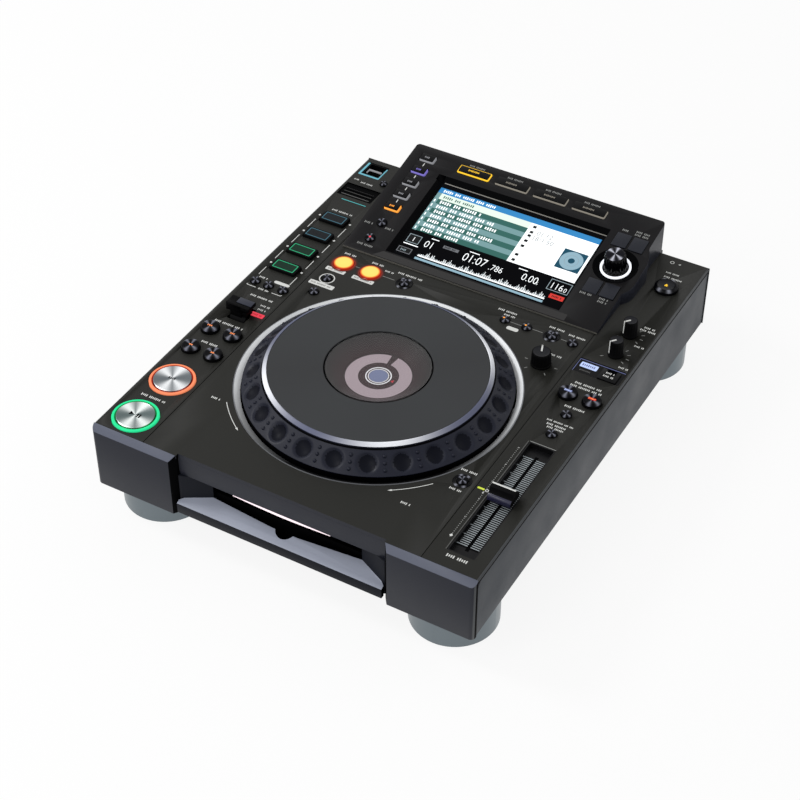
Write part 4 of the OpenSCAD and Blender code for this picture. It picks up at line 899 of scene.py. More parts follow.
def dome_key(sk, r, h, name):
    """A round key with a dished, glossy top."""
    sk.turned([(0, KEY_FOOT), (r, KEY_FOOT), (r, h * 0.35), (r * 0.985, h * 0.62),
               (r * 0.93, h * 0.84), (r * 0.82, h * 0.97), (r * 0.7, h), (r * 0.5, h * 0.95),
               (r * 0.25, h * 0.9), (0, h * 0.88)], ["soft black"] * 3 + [name] * 6, 56)


def small_key(sk, r, h, name):
    sk.turned([(0, KEY_FOOT), (r, KEY_FOOT), (r, h * 0.5), (r * 0.93, h * 0.85), (r * 0.8, h),
               (r * 0.35, h * 0.97), (0, h * 0.96)], ["soft black"] * 2 + [name] * 4, 40)


def arrows(sk, size, low, high, name, way, bar):
    """Two arrowheads that point along x, and a bar before their tips."""
    for k in (-1, 0):
        x = way * size * k * 0.9
        tip = [(x, -size * 0.5), (x + way * size * 0.85, 0), (x, size * 0.5)]
        sk.prism(tip if way > 0 else tip[::-1], low, high, name)
    if bar:
        x0 = way * size * 0.95
        x1 = x0 + way * size * 0.22
        sk.slab(min(x0, x1), max(x0, x1), -size * 0.5, size * 0.5, low, high, name)


class PLAYER_OT_stage(bpy.types.Operator):
    """Sets out the floor, the soft lamps, the world and the camera"""
    bl_idname = "player.stage"
    bl_label = "Stage"
    bl_options = {"REGISTER", "UNDO"}

    # Name, place and width in metres, and power in watts.
    lamps = (("key lamp", (-1.45, -0.35, 1.45), 0.5, 14),
             ("fill lamp", (-0.5, -1.4, 1.35), 0.8, 9),
             ("rear lamp", (1.5, 1.5, 1.5), 1.2, 5))
    lamp_aim = (0, 0, 0.05)
    floor_reach = 4
    sensor_width_mm = 36

    def execute(self, context):
        scene = context.scene
        scene.view_settings.view_transform = "Standard"
        world = bpy.data.worlds.new("Soft studio")
        scene.world = world
        world.use_nodes = True
        tree = world.node_tree
        feed(tree, tree.nodes["Background"], {
            "Color": (1, 1, 1),
            "Strength": math_node(tree, "MULTIPLY_ADD", self.seen(tree), 0.42, 0.58)})
        mesh = bpy.data.meshes.new("floor")
        far = self.floor_reach
        mesh.from_pydata(
            [(-far, -far, 0), (far, -far, 0), (far, far, 0), (-far, far, 0)], [], [[0, 1, 2, 3]])
        mesh.materials.append(self.floor_finish())
        self.placed(scene, "floor", mesh)
        for name, place, width, power in self.lamps:
            data = bpy.data.lights.new(name, "AREA")
            data.size = width
            data.energy = power
            self.placed(scene, name, data, place, Vector(self.lamp_aim) - Vector(place))
        settings = scene.player_stage
        data = bpy.data.cameras.new("camera")
        data.lens = settings.lens
        data.sensor_width = self.sensor_width_mm
        data.clip_start = 0.05
        data.clip_end = 50
        az, el = settings.azimuth, settings.elevation
        look = Vector((-math.sin(az) * math.cos(el), math.cos(az) * math.cos(el), -math.sin(el)))
        scene.camera = self.placed(scene, "camera", data, settings.camera_place, look)
        return {"FINISHED"}

    def placed(self, scene, name, data, place=(0, 0, 0), look=None):
        """Links an object at its place, turned to look along a direction."""
        made = bpy.data.objects.new(name, data)
        scene.collection.objects.link(made)
        made.location = place
        if look is not None:
            made.rotation_euler = look.to_track_quat("-Z", "Y").to_euler()
        return made

    def seen(self, tree):
        """One for rays from the camera, from gloss and through glass."""
        path = tree.nodes.new("ShaderNodeLightPath").outputs
        part = math_node(tree, "MAXIMUM", path["Is Camera Ray"], path["Is Transmission Ray"])
        return math_node(tree, "MAXIMUM", part, path["Is Glossy Ray"])

    def floor_finish(self):
        made = bpy.data.materials.new("pale floor")
        made.use_nodes = True
        tree = made.node_tree
        tree.nodes.clear()
        matt = add_node(tree, "ShaderNodeBsdfDiffuse", {"Color": (0.9, 0.9, 0.9)})
        light = add_node(tree, "ShaderNodeEmission", {"Color": (1, 1, 1)})
        mix = add_node(tree, "ShaderNodeMixShader", {
            0: math_node(tree, "MULTIPLY", self.seen(tree), 0.88),
            1: matt.outputs[0], 2: light.outputs[0]})
        add_node(tree, "ShaderNodeOutputMaterial", {"Surface": mix.outputs[0]})
        return made


NODE_FINISHES = (
    ("base_chassis", "chassis steel"), ("rear_panel", "chassis steel"),
    ("rear_sockets", "socket metal"), ("power_inlet", "soft black"), ("lcd_module", "zinc"),
    # The disc drive's frame is painted deep black as shade, seen through the slot.
    ("jog_bearing_post", "zinc"), ("disc_drive_frame", "deep black"),
    ("main_board", "circuit board"), ("power_supply", "tan board"),
    ("control_boards", "circuit board"), ("feet", "foot plastic"), ("screws", "zinc"),
    ("disc_spindle", "socket metal"), ("pickup_sled", "black plastic"),
    ("touch_screen", "screen black"), ("slot_light_bar", "deep black"),
    ("tempo_fader_track", "black plastic"), ("power_button", "gloss black"),
    ("sd_door", "deep black"), ("jog_display", "wheel picture back"))


class PLAYER_OT_case(bpy.types.Operator):
    """Finishes the case: panel, front, sides, lip, rear, feet and what is inside"""
    bl_idname = "player.case"
    bl_label = "Case"
    bl_options = {"REGISTER", "UNDO"}

    def execute(self, context):
        bevel = context.scene.player_case.edge_round / MM
        for node, name in NODE_FINISHES:
            paint_node(node, name)
        # The panel's side edges carry a painted highlight and its upright walls are painted deep
        # black as shade.
        eased_copy("top_panel", "panel", "panel paint", 0, (
            ("edge light", lambda n, p: 0.3 < abs(n.x) < 0.95 and abs(p.x) > 158),
            ("front plastic", lambda n, p: n.y < -0.5 and p.y < -190),
            ("deep black", lambda n, p: n.z < 0.3)))
        # The front blocks' top chamfer and corner facets carry painted highlights; their sides,
        # undersides and backs are painted deep black as shade.
        eased_copy("front_bezel", "front_blocks", "front plastic", bevel, (
            ("front edge", lambda n, p: n.y < -0.4 and n.z > 0.4 and p.z > 76),
            ("edge light", lambda n, p: 0.7 < abs(n.x) < 0.92 and abs(p.x) > 157.5),
            ("deep black", lambda n, p: abs(n.x) > 0.7 or n.z < -0.5 or n.y > 0.5)))
        # The lip is painted deep black as shade inside the slot and on its walls, and painted
        # darker as shade on its front face and upper parts.
        eased_copy("slot_lip", "lip", "lip plastic", bevel * 0.7, (
            ("deep black", lambda n, p: p.y > -187.5 or (n.z > 0.9 and p.z < 36)),
            ("lip front", lambda n, p: n.y < -0.7 or p.z > 60),
            ("deep black", lambda n, p: n.z < 0.3)))
        # The gap beside each side panel is painted deep black as shade, and the front facets
        # carry a painted highlight.
        eased_copy("side_panels", "sides", "side paint", bevel, (
            ("deep black", lambda n, p: abs(p.x) < 157.6),
            ("edge light", lambda n, p: -0.95 < n.y < -0.3 and p.y < -180)))
        # The screen's opening and the selector's dish are painted deep black as shade, the right
        # side is painted lighter as light falling on it, and the front face carries a painted
        # highlight line.
        eased_copy("display_housing", "housing", "gloss housing", bevel, (
            ("deep black", self.sunk_in_housing),
            ("front plastic", lambda n, p: n.x > 0.5 and p.x > 100),
            ("bevel line", lambda n, p: n.y < -0.7 and p.y < 80)))
        self.opening_line()
        self.rim()
        self.slot_light()
        return {"FINISHED"}

    @staticmethod
    def sunk_in_housing(n, p):
        """Faces of the screen's opening and of the selector's dish."""
        q = on_console().inverted() @ p
        dish = math.hypot(q.x - SELECTOR[0], q.y - SELECTOR[1]) < 20.6
        return q.z < -0.15 and (dish or (-80 < q.x < 84 and 8 < q.y < 112))

    def opening_line(self):
        """A painted highlight line above the screen and a painted sheen on the housing's foot."""
        lean = Matrix.Rotation(math.atan2(0.6, 0.8), 4, "X")
        sk = Sketch(Matrix.Translation((0, 173.4, 101.7)) @ lean)
        sk.slab(-70.5, 82, -0.4, 0.4, -0.02, 0.08, "bevel line")
        sk.place = on_console()
        sk.prism([(-85, 0.8), (88, 0.8), (88, 7.4), (-78.5, 7.4)], -0.02, 0.04, "housing sheen")
        sk.make("opening_line", BODY)

    def rim(self):
        sk = Sketch(on_plate(*JOG))
        # Below its top the rim is painted deep black as shade; its metal has a side darkened by
        # painted shade and painted sheens.
        sk.turned([(104, -5.5), (112.45, -5.5), (112.45, -3.05), (109.5, -3.05), (109.5, 0.1),
                   (109.3, 0.3), (108.6, 0.3), (104, -2.6)],
                  ["deep black"] * 4 + ["rim edge"] * 2 + ["rim metal", "deep black"], 256,
                  closed=True)
        sk.make("rim", BODY, "ring_silver", ("jog_rim_ring",))

    def slot_light(self):
        """A lit lens that is deeper in the middle than at its ends."""
        parts = 40
        lo, hi = (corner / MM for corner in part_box("slot_light_bar"))
        span = [lo.x + (hi.x - lo.x) * i / parts for i in range(parts + 1)]
        lens = [(x, hi.z - 0.7 - 1.7 * (1 - abs(x / hi.x) ** 1.5)) for x in span]
        sk = Sketch(Matrix.Translation((0, lo.y - 0.1, 0)) @ Matrix.Rotation(math.pi / 2, 4, "X"))
        sk.prism(lens + [(x, hi.z - 0.1) for x in span[::-1]], 0, 0.12, "slot light")
        sk.make("slot_light", BODY, "lamp")


# Middle, width and height of each line of strokes on the control panel.
CAPTIONS = (
    (-137.5, -4, 11, 1.7), (-133, -13.5, 21, 1.8), (-124.5, -21.5, 9, 1.7),
    (-124.5, -26.5, 8, 1.7), (-137, -54.3, 27, 2.0), (-137, -81, 15, 2.0),
    (-137.5, -154.5, 23, 2.0), (-146, 9.6, 9, 1.8), (-137.5, 117.5, 20, 1.8),
    (-141, 163.5, 12, 1.6), (-152, 165.5, 5, 1.6), (-101, 70.5, 12, 1.9), (-75, 70.5, 12, 1.9),
    (-44.5, 69.5, 22, 1.9), (-62, 66.2, 9, 1.6), (45, 68.5, 19, 1.9), (48, 64.3, 11, 1.7),
    (87.5, 68.2, 14, 1.8), (105.5, 66.6, 15, 1.8), (95, 38.5, 23, 1.9), (140.5, 171.5, 17, 1.8),
    (137, 177.5, 12, 1.6), (150, 104, 10, 1.8), (150, 100.3, 13, 1.8), (152, 79.5, 9, 1.6),
    (152, 50.5, 9, 1.6), (138, 18.5, 23, 1.9), (138, 14.4, 27, 1.9), (140, -9.2, 17, 1.9),
    (138, -29.3, 22, 1.5), (137.5, -33.3, 18, 1.8), (137.5, -36.6, 14, 1.7),
    (104.5, -107.5, 13, 1.8), (104.5, -128.5, 10, 1.7), (137.8, -187.2, 18, 2.3),
    (-97, -131.5, 8, 1.8), (81, -158.3, 8, 1.8), (123, -121.5, 1.8, 1.8))


class PLAYER_OT_marks(bpy.types.Operator):
    """Prints the marks, scales and captions' strokes on the control panel"""
    bl_idname = "player.marks"
    bl_label = "Printed marks"
    bl_options = {"REGISTER", "UNDO"}

    turn_line = 114.6

    def execute(self, context):
        sk = Sketch(on_plate())
        self.pad_lines(sk)
        for x, y, width, height in CAPTIONS:
            sk.words(x, y, width, height * 1.2, *PRINT, "white print")
        for x, y, width, depth in (
                (-101.25, 46.75, 17.5, 4.5), (-75.75, 46.75, 19.5, 4.5), (-101.25, 25, 22.5, 5)):
            sk.plate(width, depth, 0.8, *PRINT, "white print", x, y)
            sk.words(x, y, width - 3, 1.9, *OVER_PRINT, "plate print")
        self.standby_mark()
        for x, y, width, depth in ((57, 51, 10, 4), (-129, 9.8, 14, 3.4)):
            sk.plate(width, depth, 1.6, *PRINT, "white print", x, y, 5)
        for x0, x1, y in ((-90.5, -84.5, 59), (-65.5, -53.5, 59), (70.5, 79.5, 58.5),
                          (95.5, 100.3, 58.5), (-101.8, -101.2, 44.5), (51.5, 61.5, 58)):
            sk.slab(x0, x1, y - 0.25, y + 0.25, *PRINT, "grey print")
        self.turn_arrow(sk, 220, 235, 1)
        self.turn_arrow(sk, 305, 320, -1)
        self.key_rings(sk)
        self.knob_scales(sk)
        sk.make("panel_marks", BODY)
        self.panel_lamps()
        self.fader_marks()
        return {"FINISHED"}

    def pad_lines(self, sk):
        """The dotted lines beside the pads and the bracket under the bank keys."""
        for x in (-152.3, -123.0):
            for y in (105.5, 80, 55, 30):
                sk.washer(0, 1.0, *PRINT, "white print", 14, x, y)
            for y0, y1 in ((86, 99), (61, 73.5), (36, 48.5), (12, 23)):
                sk.slab(x - 0.3, x + 0.3, y0, y1, *PRINT, "white print")
        for x0, x1 in ((-153.5, -145), (-130, -121.5)):
            sk.slab(x0, x1, -4.3, -3.7, *PRINT, "white print")
        for x in (-153.5, -121.5):
            sk.slab(x - 0.3, x + 0.3, -4.3, -2.6, *PRINT, "white print")

    def standby_mark(self):
        sk = Sketch(on_plate(130.6, 191.4))
        sk.washer(1.2, 1.8, 0.02, 0.06, "white print", 24)
        sk.prism([(5, -0.6), (7, -0.6), (7.6, 0.8), (6.6, 0.8)], 0.02, 0.06, "white print")
        sk.make("standby_mark", BODY)

    def turn_arrow(self, sk, start, end, way):
        """A curved line beside the wheel with an arrowhead at its end, or at its start."""
        sk.arc(self.turn_line, 0.55, start, end, *PRINT, "white print", *JOG)
        a = math.radians(end if way > 0 else start)
        ahead = Vector((-math.sin(a), math.cos(a))) * way
        out = Vector((math.cos(a), math.sin(a)))
        x, y = on_circle(self.turn_line, a)
        tip = Vector((x, JOG[1] + y))
        head = [tip + ahead * 3.2, tip + out * 0.9, tip - out * 0.9]
        sk.prism([tuple(q) for q in head[::-way]], *PRINT, "white print")

    def key_rings(self, sk):
        """Raised rings round three keys, with painted glints, and a printed one."""
        for x, y, r in ((-44.5, 59, 6.9), (87.5, 58, 6.6), (104.5, -118.5, 6.8)):
            sk.turned([(r - 1.8, PRINT[0]), (r + 0.3, PRINT[0]), (r + 0.2, 0.3), (r - 0.3, 0.7),
                       (r - 1.6, 0.35)], "spun rim", 48, x, y, closed=True)
        sk.washer(5.6, 6.5, *PRINT, "white print", 48, -101.5, 34)

    def knob_scales(self, sk):
        for x, y, r, angles in (
                (95, 24.5, 11.2, (178, 2, -50, 230)),
                (139.2, 89.5, 9.2, (-35, -5, 25, 55, 85, 215)),
                (139.7, 62.4, 9.2, (-35, -5, 25, 55, 85, 215))):
            for angle in angles:
                c, s = on_circle(1, math.radians(angle))
                near = Vector((x + r * c, y + r * s))
                far = Vector((x + (r + 2.6) * c, y + (r + 2.6) * s))
                side = Vector((-s, c)) * 0.3
                sk.prism([tuple(v) for v in (near - side, far - side, far + side, near + side)],
                         *PRINT, "grey print")

    def panel_lamps(self):
        low = PRINT[0]
        sk = Sketch(on_plate())
        sk.plate(11.5, 4.8, 0.8, low, 0.25, "red light", -124.2, -33.4)
        sk.words(-124.2, -33.4, 8.5, 2.0, 0.25, 0.3, "dark red light")
        sk.slab(-148.5, -125, 134.2, 134.85, low, 0.2, "port line")
        sk.plate(5.5, 1.6, 0.5, low, 0.25, "lime light", 119.6, -118.5)
        sk.make("panel_lamps", BODY)

    def fader_marks(self):
        """The dotted travel scale, the middle ring and the lines at the fader's recess, which are
        painted highlights along its rear and left edges.
        """
        for name, count, pitch, stud, finish_name in (
                ("fader_dots", 51, 2.03, 0.42, "grey print"),
                ("fader_tens", 6, 20.3, 0.62, "white print")):
            grown(name, row_tree(), {"Count": count, "Step": (0, -pitch, 0), "Stud": stud},
                  on_plate(123.3, -67.5), finish_name, BODY)
        sk = Sketch(on_plate())
        sk.prism([(123.3, -171.0), (124.6, -169.4), (123.3, -167.8), (122.0, -169.4)],
                 *FADER_PRINT, "white print")
        sk.washer(0.7, 1.4, *FADER_PRINT, "white print", 24, 124.3, -118.5)
        # Painted highlight lines along the recess's rear and left edges.
        sk.slab(127.4, 148.2, -57.35, -56.7, *FADER_PRINT, "grey print")
        sk.slab(126.0, 126.6, -182.5, -57.2, *FADER_PRINT, "dim print")
        sk.make("fader_lines", BODY)


class PLAYER_OT_wheel(bpy.types.Operator):
    """Shapes the jog wheel: dimpled dial, studs, trim, platter, window and its picture"""
    bl_idname = "player.wheel"
    bl_label = "Jog wheel"
    bl_options = {"REGISTER", "UNDO"}

    # Radius and height of the dial's slope at its foot and at its top.
    outer = (103.0, 2.1)
    inner = (87.9, 13.9)
    # The hidden rest of the dial's section, from the slope's foot round to its top.
    under = ((102.98, 1.6), (102.8, -3.3), (88, -3.3), (88, 10.5), (84, 12.6), (84, 15.0),
             (87.4, 15.0))
    columns_per_dimple = 28
    rows = 34
    ball = 12.0
    dimple_reach = 9.5

    def execute(self, context):
        settings = context.scene.player_wheel
        self.slope = Vector((self.inner[0] - self.outer[0], self.inner[1] - self.outer[1]))
        self.normal = Vector((self.slope.y, -self.slope.x)).normalized()
        self.dial(settings)
        self.studs(settings)
        self.platter()
        self.picture()
        return {"FINISHED"}

    def dip(self, far, depth):
        """How deep a dimple is at a distance from its middle, with a soft rim."""
        if far > self.dimple_reach:
            return 0
        dip = math.sqrt(max(self.ball * self.ball - far * far, 0)) - (self.ball - depth)
        return 0.5 * (dip + math.sqrt(dip * dip + 0.12))

    def dial(self, settings):
        count, depth = settings.dimples, settings.dimple_depth / MM
        columns, rows = count * self.columns_per_dimple, self.rows
        slope, normal = self.slope, self.normal
        corners, dips = [], []
        for k in range(rows + 1):
            t = k / rows
            r = self.outer[0] + slope.x * t
            z = self.outer[1] + slope.y * t
            for i in range(columns):
                a = math.tau * i / columns
                near = (a - settings.first_dimple) * count / math.tau
                arc = (near - round(near)) * math.tau / count * r
                dip = self.dip(math.hypot(arc, (t - 0.5) * slope.length), depth)
                dips.append(dip)
                corners.append((*on_circle(r - normal.x * dip, a), z - normal.y * dip))
        faces = ring_faces(rows + 1, columns)
        dimple = [face for face in faces if min(dips[c] for c in face) > 0.3 * depth]
        flat = [face for face in faces if min(dips[c] for c in face) <= 0.3 * depth]
        for r, z in self.under:
            corners.extend((*on_circle(r, math.tau * i / columns), z) for i in range(columns))
        chain = [0, *range(rows + 1, rows + 1 + len(self.under)), rows]
        hidden = [[b * columns + i, b * columns + (i + 1) % columns,
                   a * columns + (i + 1) % columns, a * columns + i]
                  for a, b in zip(chain, chain[1:]) for i in range(columns)]
        sk = Sketch(on_plate(*JOG))
        # The dimples are rougher and painted darker as shade in the hollows; the skirt and
        # underside below the slope are painted deep black as shade.
        sk.add(corners, flat + hidden[:columns], "dial plastic")
        sk.add(corners, dimple, "dimple plastic")
        sk.add(corners, hidden[columns:], "deep black")
        sk.make("dial", WHEEL, "dial_navy", ("jog_dial",), smooth=50)

    def studs(self, settings):
        for k in range(settings.studs):
            t = 0.5 + (k - (settings.studs - 1) / 2) * 0.27
            r = self.outer[0] + self.slope.x * t - self.normal.x * 0.4
            z = self.outer[1] + self.slope.y * t - self.normal.y * 0.4
            grown(f"dial_studs_{k + 1}", ring_tree(),
                  {"Count": settings.dimples, "Radius": r, "Stud": 1.6,
                   "Phase": settings.first_dimple + math.pi / settings.dimples},
                  on_plate(*JOG, z), "dial plastic", WHEEL)

    def platter(self):
        sk = Sketch(on_plate(*JOG))
        sk.turned([(41.2, 16.5), (83.4, 16.5), (83.4, 17.7), (83.1, 18.0), (41.6, 18.0),
                   (41.2, 17.6)], "platter coat", 192, closed=True)
        sk.make("platter", WHEEL, "platter_grey", ("jog_platter",))
        sk = Sketch(on_plate(*JOG))
        # The window's edge is painted deep black as shade.
        sk.turned([(0, 17.2), (40.0, 17.2), (40.3, 17.5), (40.0, 17.9), (0, 17.9)],
                  ["window", "deep black", "deep black", "window"], 128)
        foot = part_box("jog_display")[1].z / MM - PLATE + 0.25
        sk.turned([(26.4, foot), (40.1, 16.85), (41.4, 16.85), (41.4, 17.05), (40.1, 17.15),
                   (26.4, foot + 0.3)], ["deep black"] * 4 + ["window mask", "deep black"], 128,
                  closed=True)
        sk.make("platter_window", WHEEL, "screen_glass")
        sk = Sketch(on_plate(*JOG))
        # The trim's underside and inner lip are painted deep black as shade.
        sk.turned([(83.55, 15), (87.05, 15), (86.85, 16.05), (84.4, 17.95), (84.1, 18.08),
                   (83.55, 18.0)],
                  ["deep black", "dial plastic"] + ["trim metal"] * 3 + ["deep black"], 256,
                  closed=True)
        sk.make("trim", WHEEL, "trim_chrome", ("jog_trim_ring",))

    def picture(self):
        """An open ring, two fine rings, a disc and a pointer on the wheel's display."""
        sk = Sketch(on_plate(*JOG, 8.3))
        gap = math.degrees(4.5 / 2 / 20)
        start = 90 + gap
        sk.arc(20.3, 9.8, start, start + 360 - 2 * gap, *PICTURE, "wheel picture ring", steps=90)
        for inner, outer in ((9.1, 10.0), (7.4, 8.0)):
            sk.washer(inner, outer, *PICTURE, "wheel picture line", 64)
        sk.washer(0, 7.1, *PICTURE, "wheel picture disc", 48)
        sk.prism([(10.6, -0.6), (13.2, -2.0), (12.8, 1.4)], *PICTURE, "red light")
        sk.make("wheel_picture", BODY, "lamp")


class PLAYER_OT_transport(bpy.types.Operator):
    """Makes the cue and play keys with their rings of light"""
    bl_idname = "player.transport"
    bl_label = "Cue and play"
    bl_options = {"REGISTER", "UNDO"}

    icon = (1.44, 1.5)

    def execute(self, context):
        for which, place in (("cue", CUE), ("play", PLAY)):
            light, shade = which + " light", which + " shade"
            sk = Sketch(on_plate(*place))
            sk.turned([(14.95, -3), (17.8, -3), (17.85, 0.5), (17.3, 0.95), (15.8, 0.95),
                       (15.2, 0.6)], [light] * 4 + [shade] * 2, 96, closed=True)
            sk.make(which + "_ring", BODY, "lamp", ("light_rings",) if which == "cue" else ())
            sk = Sketch(on_plate(*place))
            # The cap's metal carries painted sheens.
            sk.turned([(0, -3), (14.6, -3), (14.6, 0.9), (14.45, 1.3), (13.9, 1.6),
                       (13.4, 1.45), (0, 1.45)], which + " metal", 96)
            if which == "play":
                sk.prism([(-4.9, -2.0), (-1.3, 0), (-4.9, 2.0)], *self.icon, "deep black")
                for x in (1.3, 3.3):
                    sk.slab(x, x + 1.2, -2.0, 2.0, *self.icon, "deep black")
            else:
                sk.words(0, 0, 7, 2.6, *self.icon, "deep black", (9,))
            sk.make_for(which + "_button", which + "_cap", "spun_aluminium")
        return {"FINISHED"}


class PLAYER_OT_pads(bpy.types.Operator):
    """Makes the four performance pads with their lit frames"""
    bl_idname = "player.pads"
    bl_label = "Pads"
    bl_options = {"REGISTER", "UNDO"}

    def execute(self, context):
        for letter, y, shade in (("a", 104.7, "teal"), ("b", 79, "teal"), ("c", 54, "green"),
                                 ("d", 28.5, "green")):
            sk = Sketch(on_plate(-137.5, y))
            sk.block(23.5, 13, 1.0, KEY_FOOT, 2.4, "soft black", crown=0.5)
            sk.frame(19.6, 10.0, 0.75, 2.3, 2.5, shade + " light", 0.8)
            sk.plate(18.1, 8.5, 0.4, 2.3, 2.44, f"dark {shade} light")
            sk.make_for("hot_cue_pad_" + letter, "pad_" + letter, "pad_rubber")
        return {"FINISHED"}


class PLAYER_OT_keys(bpy.types.Operator):
    """Makes the round keys of the control panel"""
    bl_idname = "player.keys"
    bl_label = "Round keys"
    bl_options = {"REGISTER", "UNDO"}

    def execute(self, context):
        self.search_keys()
        self.small_keys("bank_buttons", "bank_keys", (
            (-149.5, 2.7, 4.3), (-137, 2.7, 4.3), (-123.5, 2.7, 4.3), (-128, 170, 3.4)), 2.0)
        self.loop_keys()
        for node, places in (
                ("reloop_button", ((-44.5, 59),)), ("slip_buttons", ((-101.5, 34), (-101.5, 14))),
                ("memory_buttons", ((47, 58), (66, 58), (87.5, 58), (105.5, 58))),
                ("tempo_buttons", ((104.5, -118.5), (137.5, -18.5), (137.5, -43)))):
            self.small_keys(node, node.replace("_button", "_key"),
                            [(x, y, 4.2) for x, y in places], 1.8)
        self.beat_keys()
        self.eject_key()
        return {"FINISHED"}

    def search_keys(self):
        for node, y, bar in (("track_search_buttons", -65.5, True),
                             ("search_buttons", -92.2, False)):
            sk = Sketch()
            for x, way in ((-146.8, -1), (-126.3, 1)):
                sk.place = on_plate(x, y)
                dome_key(sk, 7.5, 4.0, "spun black")
                arrows(sk, 1.8, 3.45, 3.7, "orange light", way, bar)
            sk.make_for(node, node.replace("_button", "_key"), "gloss_black")

    def small_keys(self, node, name, places, height):
        sk = Sketch()
        for x, y, r in places:
            sk.place = on_plate(x, y)
            small_key(sk, r, height, "spun black")
            if node == "memory_buttons" and x < 70:
                sk.turned([(0, 1.7), (0.9, 1.7), (0.7, 1.85), (0, 1.9)], "amber light", 14,
                          -1.2, 0.6)
        sk.make_for(node, name, "black_plastic")

    def loop_keys(self):
        for which, place in (("loop_in", LOOP_IN), ("loop_out", LOOP_OUT)):
            sk = Sketch(on_plate(*place))
            sk.turned([(0, KEY_FOOT), (8.4, KEY_FOOT), (8.4, 0.8), (8.0, 1.3), (7.2, 1.4),
                       (0, 1.4)], which.replace("_", " ") + " light")
            sk.make_for(which + "_button", which + "_key", "lamp")
        sk = Sketch(on_plate())
        for name, place in (("loop in halo", LOOP_IN), ("loop out halo", LOOP_OUT)):
            sk.turned([(8.8, -0.02), (11.9, -0.02), (11.9, 0.03), (8.8, 0.08)], name, 64, *place,
                      closed=True)
        sk.make("loop_halos", BODY, "lamp")

    def beat_keys(self):
        for which, x, light, strokes in (("sync", 128.3, "blue light", "ice light"),
                                         ("master", 148, "dark red light", "orange light")):
            sk = Sketch(on_plate(x, 3))
            dome_key(sk, 7.5, 4.0, "spun black")
            sk.plate(7.6, 2.4, 0.6, 3.4, 3.75, light, 0, 0.4)
            sk.words(0, 0.4, 6.6, 1.6, 3.75, 3.8, strokes, (9,))
            sk.make_for(which + "_button", which + "_key", "gloss_black")

    def eject_key(self):
        sk = Sketch(on_plate(140, 157.5))
        # The rim of the key carries painted glints.
        sk.turned([(0, KEY_FOOT), (9.7, KEY_FOOT), (9.7, 2.2), (9.3, 3.1), (8.2, 3.9),
                   (7.2, 4.1), (6.6, 3.7), (3.4, 3.4), (0, 3.4)],
                  ["gloss black"] * 2 + ["spun rim"] * 3 + ["gloss black"] + ["knob top"] * 2)
        sk.prism([(-1.3, -0.7), (1.3, -0.7), (0, 1.3)], 3.38, 3.6, "yellow light")
        sk.slab(-1.3, 1.3, -1.6, -1.1, 3.38, 3.6, "yellow light")
        sk.make_for("eject_button", "eject_key", "gloss_black")


